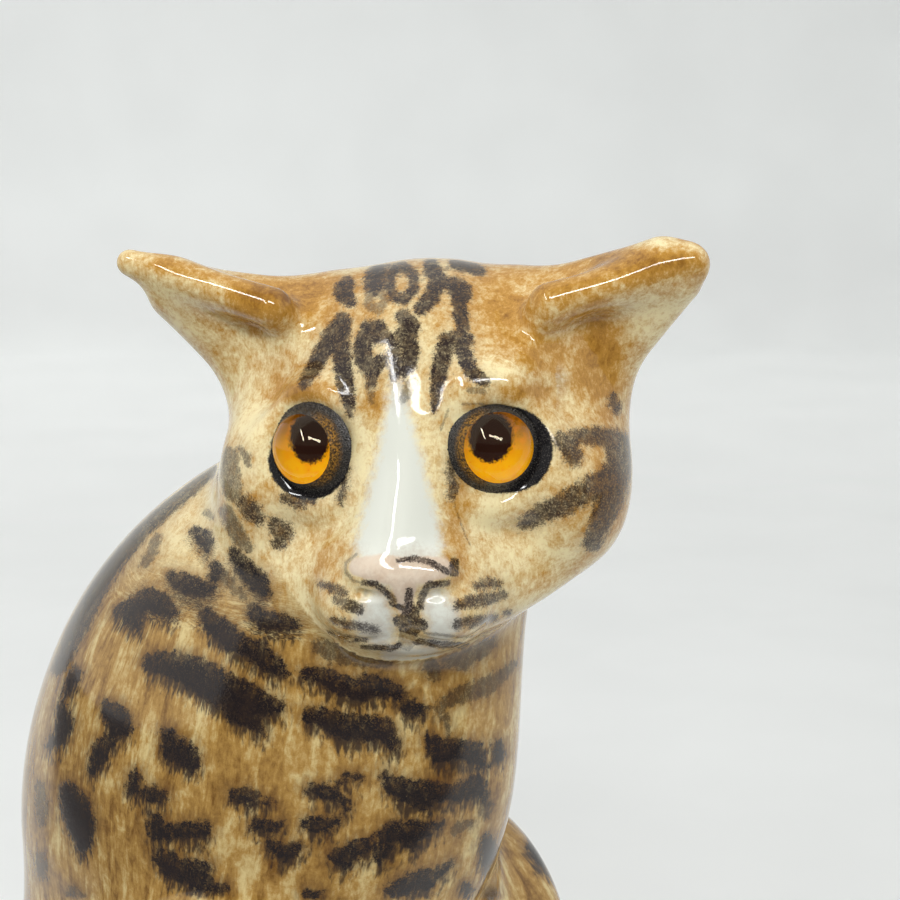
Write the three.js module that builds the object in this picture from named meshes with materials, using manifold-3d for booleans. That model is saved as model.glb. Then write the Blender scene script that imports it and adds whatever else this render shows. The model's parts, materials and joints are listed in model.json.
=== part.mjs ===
// A seated cat in slip-cast, painted and glazed ceramic, with two glass cabochon eyes.
// Millimetres. +Z is up, the figure stands on z = 0 and its face looks toward -Y.
// The casting is one smooth closed form: rounded masses melt into one another, as clay does.
// The cat's own left is +X and its own right, where the tail comes round, is -X.
import * as THREE from 'three';
import { mergeVertices } from 'three/addons/utils/BufferGeometryUtils.js';
import Module from 'manifold-3d';

// Glass eyes: a ball cut flat behind, bedded with a thin gap
const EYE_RADIUS = 8.4;
const EYE_DEPTH_BEHIND = 3.4;
const BED_GAP = 0.3;
const EYE_TURNED_OUT = 20.5;
const EYE_TURNED_UP = 5;
const EYE_SEATS = { left: [18, 2.2, 0.4], right: [-18.9, 2.4, 0] };

// Where the head and the body stand, and how far they turn (degrees)
const FOOTPRINT_CENTRE = [-45.3, 71.6];
const EYES_MIDPOINT = [-9.4, 25.4, 233];
const HEAD_YAW = -9;
const HEAD_ROLL = -1.5;
const BODY_PLACE = [-46, 78, 0];
const BODY_TURN = -35;

// Torso and limbs, in the body's frame: forward, to the cat's left, up.
// A mass leans forward by some degrees, and soft is how broadly it melts into what it joins.
const CHEST = { at: [19, 0, 141], size: [42.5, 36, 69], lean: 17, soft: 0 };
const BACK = { at: [-6, 0, 145], size: [57.5, 44, 86], lean: 30, soft: 22 };
const RUMP = { at: [-22, 0, 54], size: [58, 48, 62], lean: 0, soft: 22 };
const FORELEG = { from: [38, 18, 110], to: [46, 17, 12], thick: [17, 11.5], soft: 12 };
const THIGH = { at: [16, 41, 71], size: [44, 26, 62], lean: 20, soft: 13 };
const HIP = { at: [-10, 40, 36], size: [44, 24, 38], lean: 0, soft: 14 };
const FOREPAW = { at: [58, 17, 8], size: [19, 13, 12], lean: 0, soft: 7 };
const HIND_PAW = { at: [32, 51, 8], size: [33, 13, 12], lean: 0, soft: 8 };
const BREAST_WEB = { at: [34, 0, 46], size: [13, 15, 70], lean: 4, soft: 8 };
const SEAT = { at: [-4, -2, 4], size: [72, 62, 22], lean: 0, soft: 8 };
// The neck runs from the body's frame to the head's
const NECK = { from: [2, 0, 159], to: [0, 40, -12], thick: [36, 28], soft: 22 };
const HEAD_SOFT = 9;

// Tail: an arc round the rump and the cat's right side, thinning to its tip
const TAIL = {
  centre: [-8, -4],
  reach: [76, 70],
  start: 175,
  sweep: 150,
  thick: [14.5, 9],
  sunk: 1.2,
  rootLength: 0.22,
  rootIn: 0.32,
  stations: 16,
  soft: 14,
};

// Head, in its own frame from the midpoint of the eyes: to the cat's left, back, up
const CRANIUM = { at: [0, 34, 3], size: [41.5, 33, 33.5], soft: 0 };
const CHEEK = { at: [31, 22, -11], size: [13.5, 20, 18.5], soft: 10 };
const JAW = { at: [-1.2, 15, -28], size: [30.5, 19, 13.5], soft: 10 };
const BRIDGE = { from: [0, 17.2, 14], to: [0, -4.8, -21.2], thick: [12, 8.6], soft: 9 };
const MUZZLE = { at: [0, 3, -26.5], size: [18.5, 14, 12.5], soft: 11 };
const LIP = { at: [8, -5.6, -30.5], size: [9, 8, 6.8], soft: 4 };
// Only the left brow stands out
const BROW = { at: [19.5, 14, 13], size: [13, 13, 6], soft: 8 };
const CHIN = { at: [0, 0.5, -37.5], size: [13, 9.5, 4.5], soft: 3 };
const NOSE = { at: [1.1, -10.6, -22.5], size: [10.5, 4.6, 4], soft: 2.2 };
// The eyelid is a ring round the glass, thinner on the side of the nose
const EYELID = { radius: 11.8, thick: 2.4, setBack: 0.6, thinner: 3.2, soft: 6 };
const EAR_SOFT = 10;
const EARS = {
  left: {
    crest: { from: [24, 30, 22.5], to: [50.5, 18.5, 35.6], thick: [10.5, 4.6], soft: 0 },
    under: { from: [28.5, 34, 8], to: [54, 21, 31], thick: [10.5, 4.6], soft: 8 },
    rim: { from: [29, 11, 28], to: [57, 15, 35.4], thick: [4.2, 3], soft: 7 },
    hollow: { from: [35, 2, 14], to: [57, 7.5, 29.5], thick: [8.5, 3.2], soft: 6 },
  },
  right: {
    crest: { from: [-24, 30, 20], to: [-51, 19, 32], thick: [12, 4.6], soft: 0 },
    under: { from: [-32, 34, 8], to: [-53.5, 22, 30], thick: [10, 4.6], soft: 8 },
    rim: { from: [-29, 11, 28], to: [-60.5, 15, 37.5], thick: [4.2, 2.8], soft: 7 },
    hollow: { from: [-35, 2, 14], to: [-57, 7.5, 29.5], thick: [8.5, 3.2], soft: 6 },
  },
};

// Facets: cell sizes, and the longest edges wanted on the face and the ears
const BODY_CELL = 8.5;
const HEAD_CELL = 5;
const ACROSS_CELL = 6.4;
const HEAD_FROM = 184;
const CAST_SPACE = { low: [-156, -40, -30], high: [70, 176, 290] };
const FACE_CENTRE = [0, -2, -8];
const FACE_REACH = 33;
const FACE_EDGE = 4.9;
const EAR_EDGE = 5.9;
const EAR_OUT = 34;
const BED_SEGMENTS = 24;
const EYE_SEGMENTS = 20;
const DOME_STEPS = 7;

const SETTLE_STEP = 0.05;
const SETTLE_ROUNDS = 3;
const SLOPE_FLOOR = 0.2;
const TINY = 1e-6;
const WELD = 1e-4;
const POINTS_AT_MOST = 1e6;
const GROUND = { width: 400, depth: 60 };

const CREAM = 0xd9bf93;
const AMBER = 0xb8720c;

const radians = THREE.MathUtils.degToRad;

// Vectors are plain [x, y, z] lists, which keeps the field quick
const add = (a, b) => [a[0] + b[0], a[1] + b[1], a[2] + b[2]];
const minus = (a, b) => [a[0] - b[0], a[1] - b[1], a[2] - b[2]];
const times = (a, k) => [a[0] * k, a[1] * k, a[2] * k];
const dot = (a, b) => a[0] * b[0] + a[1] * b[1] + a[2] * b[2];
const long = (a) => Math.hypot(a[0], a[1], a[2]);
const mirrored = (a, side) => [a[0] * side, a[1], a[2]];
const otherSide = (a, side) => [a[0], a[1] * side, a[2]];

// A frame is a place and three unit directions; world points are read in it and back
function frameAt(place, turn) {
  const matrix = new THREE.Matrix4().makeRotationFromEuler(turn);
  const axes = [0, 1, 2].map((i) => new THREE.Vector3().setFromMatrixColumn(matrix, i).toArray());
  return {
    read: (p) => {
      const d = minus(p, place);
      return [dot(d, axes[0]), dot(d, axes[1]), dot(d, axes[2])];
    },
    write: (q) => add(place, add(add(times(axes[0], q[0]), times(axes[1], q[1])), times(axes[2], q[2]))),
  };
}

const standing = (place) => minus(place, [...FOOTPRINT_CENTRE, 0]);
const head = frameAt(
  standing(EYES_MIDPOINT),
  new THREE.Euler(0, radians(HEAD_ROLL), radians(HEAD_YAW), 'ZXY'),
);
const body = frameAt(standing(BODY_PLACE), new THREE.Euler(0, 0, radians(BODY_TURN), 'ZXY'));

// Signed distances: negative inside

// A rounded mass, leaning forward by some degrees
function egg(p, { at, size, lean = 0 }) {
  let [x, y, z] = minus(p, at);
  if (lean) {
    const c = Math.cos(radians(lean));
    const s = Math.sin(radians(lean));
    [x, z] = [c * x - s * z, s * x + c * z];
  }
  const near = Math.hypot(x / size[0], y / size[1], z / size[2]);
  const steep = Math.hypot(x / size[0] ** 2, y / size[1] ** 2, z / size[2] ** 2);
  return (near * (near - 1)) / Math.max(steep, TINY);
}

// A limb: two balls with a straight taper between them
function limb(p, { from, to, thick }) {
  const along = minus(to, from);
  const span = dot(along, along);
  const taper = thick[0] - thick[1];
  const slant = span - taper * taper;
  const d = minus(p, from);
  const y = dot(d, along);
  const z = y - span;
  const x = minus(times(d, span), times(along, y));
  const x2 = dot(x, x);
  const y2 = y * y * span;
  const z2 = z * z * span;
  const edge = Math.sign(taper) * taper * taper * x2;
  if (Math.sign(z) * slant * z2 > edge) return Math.sqrt(x2 + z2) / span - thick[1];
  if (Math.sign(y) * slant * y2 < edge) return Math.sqrt(x2 + y2) / span - thick[0];
  return (Math.sqrt((x2 * slant) / span) + y * taper) / span - thick[0];
}

// A ring of round section about an axis
function ring(p, at, axis, radius, thick) {
  const d = minus(p, at);
  const height = dot(d, axis);
  const across = Math.sqrt(Math.max(dot(d, d) - height * height, 0));
  return Math.hypot(across - radius, height) - thick;
}

// Two forms melted together, or one pressed out of the other
function melt(a, b, soft) {
  const h = Math.min(Math.max(0.5 + (0.5 * (b - a)) / soft, 0), 1);
  return b + (a - b) * h - soft * h * (1 - h);
}
const press = (a, b, soft) => -melt(-a, b, soft);
const addEgg = (d, p, mass) => melt(d, egg(p, mass), mass.soft);
const addLimb = (d, p, mass) => melt(d, limb(p, mass), mass.soft);

const SIDES = [
  { name: 'left', sign: 1 },
  { name: 'right', sign: -1 },
];

function eyeAxis(sign) {
  const out = radians(EYE_TURNED_OUT);
  const up = radians(EYE_TURNED_UP);
  return [sign * Math.sin(out) * Math.cos(up), -Math.cos(out) * Math.cos(up), Math.sin(up)];
}

function torso(q) {
  let d = addEgg(egg(q, CHEST), q, BACK);
  d = addEgg(d, q, RUMP);
  for (const { sign } of SIDES) {
    const near = otherSide(q, sign);
    d = addLimb(d, near, FORELEG);
    for (const mass of [THIGH, HIP, FOREPAW, HIND_PAW]) d = addEgg(d, near, mass);
  }
  d = addEgg(d, q, BREAST_WEB);
  return addEgg(d, q, SEAT);
}

// Stations of the tail, each with its place and thickness, lying on the ground.
// At its root the arc starts further in, inside the rump.
const tailStations = Array.from({ length: TAIL.stations + 1 }, (_, i) => {
  const t = i / TAIL.stations;
  const angle = radians(TAIL.start + TAIL.sweep * t);
  const thick = THREE.MathUtils.lerp(TAIL.thick[0], TAIL.thick[1], t);
  const out = 1 - TAIL.rootIn * Math.max(0, 1 - t / TAIL.rootLength) ** 2;
  const x = TAIL.centre[0] + TAIL.reach[0] * out * Math.cos(angle);
  const y = TAIL.centre[1] + TAIL.reach[1] * out * Math.sin(angle);
  return { at: [x, y, thick - TAIL.sunk], thick };
});

function tail(q) {
  const lengths = tailStations.slice(1).map((end, i) => {
    const start = tailStations[i];
    return limb(q, { from: start.at, to: end.at, thick: [start.thick, end.thick] });
  });
  return Math.min(...lengths);
}

function ear(q, { crest, under, rim }) {
  return addLimb(addLimb(limb(q, crest), q, under), q, rim);
}

function skull(q) {
  let d = egg(q, CRANIUM);
  for (const { sign } of SIDES) d = addEgg(d, mirrored(q, sign), CHEEK);
  d = addEgg(d, q, JAW);
  d = addLimb(d, q, BRIDGE);
  d = addEgg(d, q, MUZZLE);
  d = addEgg(d, q, CHIN);
  for (const { sign } of SIDES) d = addEgg(d, mirrored(q, sign), LIP);
  d = addEgg(d, q, BROW);
  for (const { name } of SIDES) d = melt(d, ear(q, EARS[name]), EAR_SOFT);
  for (const { name, sign } of SIDES) {
    const axis = eyeAxis(sign);
    const at = minus(EYE_SEATS[name], times(axis, EYELID.setBack));
    const inward = THREE.MathUtils.clamp((Math.abs(at[0]) - sign * q[0]) / EYELID.radius, 0, 1);
    const lid = ring(q, at, axis, EYELID.radius, EYELID.thick) + EYELID.thinner * inward ** 2;
    d = melt(d, lid, EYELID.soft);
  }
  for (const { name } of SIDES) {
    const { hollow } = EARS[name];
    d = press(d, limb(q, hollow), hollow.soft);
  }
  return addEgg(d, q, NOSE);
}

const neck = { ...NECK, from: body.write(NECK.from), to: head.write(NECK.to) };

function casting(p) {
  const inBody = body.read(p);
  let d = addLimb(torso(inBody), p, neck);
  d = melt(d, skull(head.read(p)), HEAD_SOFT);
  return melt(d, tail(inBody), TAIL.soft);
}

// From the field to facets

function steps(low, high, sizeAt) {
  const marks = [low];
  while (marks[marks.length - 1] < high) {
    const last = marks[marks.length - 1];
    marks.push(last + sizeAt(last));
  }
  return marks;
}

// One point in each cell that the surface crosses, one four-sided facet on each crossed grid edge
function net(field, axes) {
  const [nx, ny, nz] = axes.map((marks) => marks.length);
  const index = (i, j, k) => (i * ny + j) * nz + k;
  const value = new Float64Array(nx * ny * nz);
  for (let i = 0; i < nx; i += 1) {
    for (let j = 0; j < ny; j += 1) {
      for (let k = 0; k < nz; k += 1) {
        value[index(i, j, k)] = field([axes[0][i], axes[1][j], axes[2][k]]);
      }
    }
  }
  const cells = new Map();
  const crossings = [];
  const point = (at) => at.map((n, axis) => axes[axis][n]);
  for (let i = 0; i < nx; i += 1) {
    for (let j = 0; j < ny; j += 1) {
      for (let k = 0; k < nz; k += 1) {
        const here = [i, j, k];
        for (let axis = 0; axis < 3; axis += 1) {
          const there = [...here];
          there[axis] += 1;
          if (there[axis] >= axes[axis].length) continue;
          const a = value[index(...here)];
          const b = value[index(...there)];
          if (a < 0 === b < 0) continue;
          const from = point(here);
          const cross = add(from, times(minus(point(there), from), a / (a - b)));
          const u = (axis + 1) % 3;
          const v = (axis + 2) % 3;
          const round = [[-1, -1], [0, -1], [0, 0], [-1, 0]].map(([du, dv]) => {
            const cell = [...here];
            cell[u] += du;
            cell[v] += dv;
            const key = index(...cell);
            const sum = cells.get(key) ?? { total: [0, 0, 0], count: 0, number: cells.size };
            sum.total = add(sum.total, cross);
            sum.count += 1;
            cells.set(key, sum);
            return sum.number;
          });
          crossings.push(a < 0 ? round : round.reverse());
        }
      }
    }
  }
  const points = [...cells.values()].map(({ total, count }) => times(total, 1 / count));
  return { points, quads: crossings };
}

// Moves a point along the field's slope until it lies on the surface
function settle(field, p) {
  let at = p;
  for (let n = 0; n < SETTLE_ROUNDS; n += 1) {
    const slope = [0, 1, 2].map((i) => {
      const [a, b] = [[...at], [...at]];
      a[i] -= SETTLE_STEP;
      b[i] += SETTLE_STEP;
      return (field(b) - field(a)) / (2 * SETTLE_STEP);
    });
    at = minus(at, times(slope, field(at) / Math.max(dot(slope, slope), SLOPE_FLOOR)));
  }
  return at;
}

function halves(points, [a, b, c, d]) {
  const short = long(minus(points[a], points[c])) < long(minus(points[b], points[d]));
  return short ? [[a, b, c], [a, c, d]] : [[a, b, d], [b, c, d]];
}

// Splits every edge that is longer than wanted at its place, and keeps the facets joined
function refine(field, points, faces, wanted) {
  const middles = new Map();
  const middle = (a, b) => {
    const key = Math.min(a, b) * POINTS_AT_MOST + Math.max(a, b);
    if (!middles.has(key)) {
      const at = times(add(points[a], points[b]), 0.5);
      const split = long(minus(points[a], points[b])) > wanted(at);
      middles.set(key, split ? points.push(settle(field, at)) - 1 : -1);
    }
    return middles.get(key);
  };
  return faces.flatMap((face) => {
    const marks = [0, 1, 2].map((i) => middle(face[i], face[(i + 1) % 3]));
    const split = marks.filter((m) => m >= 0).length;
    if (split === 0) return [face];
    // Turned so that the first edge is split, and where two are split, the last is whole
    let turn = marks.findIndex((m, i) => m >= 0 && (split !== 2 || marks[(i + 2) % 3] < 0));
    turn = Math.max(turn, 0);
    const [a, b, c] = [0, 1, 2].map((i) => face[(i + turn) % 3]);
    const [ab, bc, ca] = [0, 1, 2].map((i) => marks[(i + turn) % 3]);
    if (split === 1) return [[a, ab, c], [ab, b, c]];
    if (split === 3) return [[a, ab, ca], [ab, b, bc], [ca, bc, c], [ab, bc, ca]];
    return [[ab, b, bc], ...halves(points, [a, ab, bc, c])];
  });
}

// Edge length wanted at a place: fine on the face, less so on the ears, coarse elsewhere
function wantedEdge(p) {
  const q = head.read(p);
  if (long(minus(q, FACE_CENTRE)) < FACE_REACH) return FACE_EDGE;
  if (Math.abs(q[0]) > EAR_OUT && q[2] > 0) return EAR_EDGE;
  return Infinity;
}

// Cutting and joining of closed meshes
const wasm = await Module();
wasm.setup();

function solidFrom(geometry) {
  const bare = geometry.clone();
  bare.deleteAttribute('normal');
  bare.deleteAttribute('uv');
  const merged = mergeVertices(bare, WELD);
  return new wasm.Manifold(new wasm.Mesh({
    numProp: 3,
    vertProperties: new Float32Array(merged.getAttribute('position').array),
    triVerts: new Uint32Array(merged.index.array),
  }));
}

function geometryFrom(points, faces) {
  const geometry = new THREE.BufferGeometry();
  geometry.setAttribute('position', new THREE.Float32BufferAttribute(points, 3));
  geometry.setIndex(faces);
  return geometry;
}

// An eye's closed shape about its axis, grown by a margin: a dome, and a flat back
function cabochon(margin, segments) {
  const radius = EYE_RADIUS + margin;
  const back = EYE_DEPTH_BEHIND + margin;
  const last = Math.acos(-back / radius);
  const profile = [new THREE.Vector2(0, -back)];
  for (let i = DOME_STEPS; i >= 0; i -= 1) {
    const angle = (last * i) / DOME_STEPS;
    profile.push(new THREE.Vector2(i === 0 ? 0 : radius * Math.sin(angle), radius * Math.cos(angle)));
  }
  return new THREE.LatheGeometry(profile, segments);
}

function eyePose(name, sign) {
  const axis = eyeAxis(sign);
  const forward = new THREE.Vector3(...minus(head.write(axis), head.write([0, 0, 0])));
  const turn = new THREE.Quaternion().setFromUnitVectors(new THREE.Vector3(0, 1, 0), forward);
  return { place: new THREE.Vector3(...head.write(EYE_SEATS[name])), turn };
}

function castFigure() {
  const low = standing(CAST_SPACE.low);
  const high = standing(CAST_SPACE.high);
  const rise = (z) => (z < HEAD_FROM ? BODY_CELL : HEAD_CELL);
  const axes = [
    steps(low[0], high[0], () => ACROSS_CELL),
    steps(low[1], high[1], () => ACROSS_CELL),
    steps(low[2], high[2], rise),
  ];
  const { points, quads } = net(casting, axes);
  points.forEach((p, i) => {
    points[i] = settle(casting, p);
  });
  let faces = quads.flatMap((quad) => halves(points, quad));
  faces = refine(casting, points, faces, wantedEdge);
  let figure = solidFrom(geometryFrom(points.flat(), faces.flat()));

  const { width, depth } = GROUND;
  const ground = new THREE.BoxGeometry(width, width, depth).translate(0, 0, -depth / 2);
  figure = figure.subtract(solidFrom(ground));
  for (const { name, sign } of SIDES) {
    const { place, turn } = eyePose(name, sign);
    const bed = cabochon(BED_GAP, BED_SEGMENTS).applyQuaternion(turn).translate(...place.toArray());
    figure = figure.subtract(solidFrom(bed));
  }
  const { vertProperties, triVerts } = figure.getMesh();
  return geometryFrom(Array.from(vertProperties), Array.from(triVerts));
}

const cat = new THREE.Group();

const glazed = new THREE.MeshStandardMaterial({ color: CREAM, roughness: 0.12, metalness: 0 });
const figure = new THREE.Mesh(castFigure(), glazed);
figure.name = 'cat_figure';
cat.add(figure);

const glass = new THREE.MeshStandardMaterial({ color: AMBER, roughness: 0.05, metalness: 0 });
for (const { name, sign } of SIDES) {
  const { place, turn } = eyePose(name, sign);
  const eye = new THREE.Mesh(cabochon(0, EYE_SEGMENTS), glass);
  eye.name = `eye_${name}`;
  eye.position.copy(place);
  eye.quaternion.copy(turn);
  cat.add(eye);
}

export default cat;
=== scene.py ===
"""A seated cat in slip-cast, painted and glazed ceramic, with two domed glass eyes.

Sizes are in millimetres in the part's own frame: +Z up, the face toward -Y, the cat's left at +X.
The casting is one field of rounded masses that melt together, meshed finely and then painted.
Paint is laid on in brush strokes, given where the camera sees them, and kept as values at the mesh's points.
"""

import json
import math

import bmesh
import bpy
import numpy as np
from mathutils import Matrix, Vector

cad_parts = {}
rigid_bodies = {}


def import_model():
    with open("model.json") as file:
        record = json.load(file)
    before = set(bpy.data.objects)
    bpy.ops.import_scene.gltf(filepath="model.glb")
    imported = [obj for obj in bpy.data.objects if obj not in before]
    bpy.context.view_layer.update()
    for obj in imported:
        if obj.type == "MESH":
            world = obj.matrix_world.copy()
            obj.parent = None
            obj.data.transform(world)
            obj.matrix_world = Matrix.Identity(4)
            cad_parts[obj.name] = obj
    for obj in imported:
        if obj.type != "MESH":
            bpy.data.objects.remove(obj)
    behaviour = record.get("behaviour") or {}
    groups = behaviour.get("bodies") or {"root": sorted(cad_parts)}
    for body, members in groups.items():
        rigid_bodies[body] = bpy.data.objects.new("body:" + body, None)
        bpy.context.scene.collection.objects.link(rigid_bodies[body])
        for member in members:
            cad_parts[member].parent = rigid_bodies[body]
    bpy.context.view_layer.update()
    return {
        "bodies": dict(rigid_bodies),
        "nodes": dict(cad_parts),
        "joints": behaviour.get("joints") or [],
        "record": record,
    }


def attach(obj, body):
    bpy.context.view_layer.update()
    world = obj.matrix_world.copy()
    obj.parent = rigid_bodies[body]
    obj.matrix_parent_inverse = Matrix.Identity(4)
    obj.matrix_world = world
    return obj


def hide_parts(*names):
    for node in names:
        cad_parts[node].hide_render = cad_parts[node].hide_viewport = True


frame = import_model()
METRES = 0.001
TINY = 1e-6


# Where the head and the body stand, and how far they turn (degrees)
EYES_MIDPOINT = (35.9, -46.2, 233.0)
HEAD_YAW = -9.0
HEAD_ROLL = -1.5
BODY_PLACE = (-0.7, 6.4, 0.0)
BODY_TURN = -35.0

# Torso and limbs in the body's frame: forward, to the cat's left, up
CHEST = dict(at=(19, 0, 141), size=(42.5, 36, 69), lean=17)
BACK = dict(at=(-6, 0, 145), size=(57.5, 44, 86), lean=30, soft=22)
RUMP = dict(at=(-22, 0, 54), size=(58, 48, 62), soft=22)
FORELEG = dict(start=(38, 18, 110), end=(46, 17, 12), thick=(17, 11.5), soft=12)
THIGH = dict(at=(16, 41, 71), size=(44, 26, 62), lean=20, soft=13)
HIP = dict(at=(-10, 40, 36), size=(44, 24, 38), soft=14)
FOREPAW = dict(at=(58, 17, 8), size=(19, 13, 12), soft=7)
HIND_PAW = dict(at=(32, 51, 8), size=(33, 13, 12), soft=8)
BREAST_WEB = dict(at=(34, 0, 46), size=(13, 15, 70), lean=4, soft=8)
SEAT = dict(at=(-4, -2, 4), size=(72, 62, 22), soft=8)
NECK_FROM = (2, 0, 159)
NECK_TO = (0, 40, -12)
NECK_THICK = (36, 28)
NECK_SOFT = 22
HEAD_SOFT = 9

# Tail: an arc round the rump and the cat's right side, thinning to its tip
TAIL_CENTRE = (-8, -4)
TAIL_REACH = (76, 70)
TAIL_START = 175
TAIL_SWEEP = 150
TAIL_THICK = (14.5, 9)
TAIL_SUNK = 1.2
TAIL_ROOT_LENGTH = 0.22
TAIL_ROOT_IN = 0.32
TAIL_STATIONS = 16
TAIL_SOFT = 14

# Head in its own frame, from the midpoint of the eyes: to the cat's left, back, up
CRANIUM = dict(at=(0, 34, 3), size=(41.5, 33, 33.5))
CHEEK = dict(at=(31, 22, -11), size=(13.5, 20, 18.5), soft=10)
JAW = dict(at=(-1.2, 15, -28), size=(30.5, 19, 13.5), soft=10)
BRIDGE = dict(start=(0, 17.2, 14), end=(0, -4.8, -21.2), thick=(12, 8.6), soft=9)
MUZZLE = dict(at=(0, 3, -26.5), size=(18.5, 14, 12.5), soft=11)
LIP = dict(at=(8, -5.6, -30.5), size=(9, 8, 6.8), soft=4)
BROW = dict(at=(19.5, 14, 13), size=(13, 13, 6), soft=8)
CHIN = dict(at=(0, 0.5, -37.5), size=(13, 9.5, 4.5), soft=3)
NOSE_LOBE = dict(at=(5.2, -10.2, -22.3), size=(5.6, 4.6, 3.9), soft=2.2)
NOSE_TIP = dict(at=(0, -11, -22.6), size=(6.5, 4.6, 4), soft=2)
NOSE_STALK = dict(start=(0, -12, -25), end=(0.6, -11.6, -29.5), thick=(2.6, 1.8), soft=1.6)
NOSTRIL = dict(start=(7.6, -13.4, -26.2), end=(3.8, -15.0, -26.6), thick=(0.8, 0.6), soft=1.2)
NOSE_MIDDLE = 1.1
LIP_CLEFT = dict(start=(1.6, -14.2, -29.5), end=(1.6, -12.6, -35.5), thick=(0.8, 0.9), soft=1.2)
MOUTH_LINE = (
    (-14.5, -4.2, -37.0), (-8, -9.8, -37.2), (-3, -12.0, -36.4), (1.6, -12.4, -35.8),
    (6, -11.6, -36.6), (11, -8.2, -37.6), (15.5, -2.2, -37.2),
)
MOUTH_THICK = 0.75
MOUTH_THINS = 0.99
MOUTH_SOFT = 1.1
EAR_SOFT = 10
EARS = {
    "left": dict(
        crest=dict(start=(24, 30, 22.5), end=(50.5, 18.5, 35.6), thick=(10.5, 4.6)),
        under=dict(start=(28.5, 34, 8), end=(54, 21, 31), thick=(10.5, 4.6), soft=8),
        rim=dict(start=(29, 11, 28), end=(57, 15, 35.4), thick=(4.2, 3), soft=7),
        hollow=dict(start=(35, 2, 14), end=(57, 7.5, 29.5), thick=(8.5, 3.2), soft=6),
    ),
    "right": dict(
        crest=dict(start=(-24, 30, 20), end=(-51, 19, 32), thick=(12, 4.6)),
        under=dict(start=(-32, 34, 8), end=(-53.5, 22, 30), thick=(10, 4.6), soft=8),
        rim=dict(start=(-29, 11, 28), end=(-60.5, 15, 37.5), thick=(4.2, 2.8), soft=7),
        hollow=dict(start=(-35, 2, 14), end=(-57, 7.5, 29.5), thick=(8.5, 3.2), soft=6),
    ),
}

# Eyes: a ball of glass cut flat behind, its seat in the head's frame, and where it looks
EYE_RADIUS = 8.4
EYE_BACK = -3.4
EYE_SEATS = {"left": (18.0, 2.2, 0.4), "right": (-18.9, 2.4, 0.0)}
EYE_TURNED_OUT = 20.5
EYE_TURNED_UP = 5
EYELID = dict(radius=11.8, thick=2.4, back=0.6, soft=6)
LID_THINNER = 3.2
SOCKET_GAP = 0.12
SOCKET_SOFT = 0.6
SIDES = {"left": 1, "right": -1}

# The field is taken as far away beyond these bounds of the tail and the head
FAR = 500.0
TAIL_TOP = 60.0
HEAD_MIDDLE = (0, 25, 0)
HEAD_REACH = 100.0
MOUTH_CENTRE = (1, -10, -28)
MOUTH_WITHIN = 26.0

# The field is read in lots of points, and its slope over a short step
LOT = 16384
SLOPE_STEP = 0.02
STEEP_LEAST = 0.2


def turn_about_z(degrees):
    c, s = math.cos(math.radians(degrees)), math.sin(math.radians(degrees))
    return np.array([[c, -s, 0], [s, c, 0], [0, 0, 1.0]])


def turn_about_y(degrees):
    c, s = math.cos(math.radians(degrees)), math.sin(math.radians(degrees))
    return np.array([[c, 0, s], [0, 1.0, 0], [-s, 0, c]])


HEAD = (np.array(EYES_MIDPOINT), turn_about_z(HEAD_YAW) @ turn_about_y(HEAD_ROLL))
BODY = (np.array(BODY_PLACE), turn_about_z(BODY_TURN))


def read_in(frame, p):
    """Points (3, n) of the part's frame, read in another frame."""
    place, axes = frame
    return axes.T @ (p - place[:, None])


def write_from(frame, q):
    """Points (3, n) of another frame, in the part's frame."""
    place, axes = frame
    return axes @ q + place[:, None]


def egg(p, at, size, lean=0.0, soft=0.0):
    """Signed distance to a rounded mass, which may lean forward; its fillet is read where it is joined."""
    x, y, z = (p[i] - at[i] for i in range(3))
    if lean:
        c, s = math.cos(math.radians(lean)), math.sin(math.radians(lean))
        x, z = c * x - s * z, s * x + c * z
    a, b, c = x / size[0], y / size[1], z / size[2]
    near = np.sqrt(a * a + b * b + c * c)
    steep = np.sqrt((a / size[0]) ** 2 + (b / size[1]) ** 2 + (c / size[2]) ** 2)
    return near * (near - 1) / np.maximum(steep, TINY)


def limb(p, start, end, thick, soft=0.0):
    """Signed distance to two balls with a straight taper between them."""
    start = np.asarray(start, float)
    along = np.asarray(end, float) - start
    span = along @ along
    taper = thick[0] - thick[1]
    slant = span - taper * taper
    d = [p[i] - start[i] for i in range(3)]
    y = d[0] * along[0] + d[1] * along[1] + d[2] * along[2]
    z = y - span
    x2 = sum((d[i] * span - along[i] * y) ** 2 for i in range(3))
    y2, z2 = y * y * span, z * z * span
    edge = np.sign(taper) * taper * taper * x2
    side = (np.sqrt(x2 * slant / span) + y * taper) / span - thick[0]
    side = np.where(np.sign(y) * slant * y2 < edge, np.sqrt(x2 + y2) / span - thick[0], side)
    return np.where(np.sign(z) * slant * z2 > edge, np.sqrt(x2 + z2) / span - thick[1], side)


def ring(p, at, axis, radius, thick):
    """Signed distance to a round rim about an axis."""
    d = [p[i] - at[i] for i in range(3)]
    height = d[0] * axis[0] + d[1] * axis[1] + d[2] * axis[2]
    across = np.sqrt(np.maximum(d[0] ** 2 + d[1] ** 2 + d[2] ** 2 - height**2, 0))
    return np.hypot(across - radius, height) - thick


def ball(p, at, radius):
    return np.sqrt(sum((p[i] - at[i]) ** 2 for i in range(3))) - radius


def melt(a, b, soft):
    """Two forms joined, with a soft fillet between them."""
    h = np.clip(0.5 + 0.5 * (b - a) / soft, 0, 1)
    return b + (a - b) * h - soft * h * (1 - h)


def press(a, b, soft):
    """The second form pressed out of the first."""
    return -melt(-a, b, soft)


def add_egg(d, p, mass):
    return melt(d, egg(p, **mass), mass["soft"])


def add_limb(d, p, mass):
    return melt(d, limb(p, **mass), mass["soft"])


def press_limb(d, p, mass):
    return press(d, limb(p, **mass), mass["soft"])


def mirrored(p, axis, sign):
    if sign > 0:
        return p
    q = p.copy()
    q[axis] = -q[axis]
    return q


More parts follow.
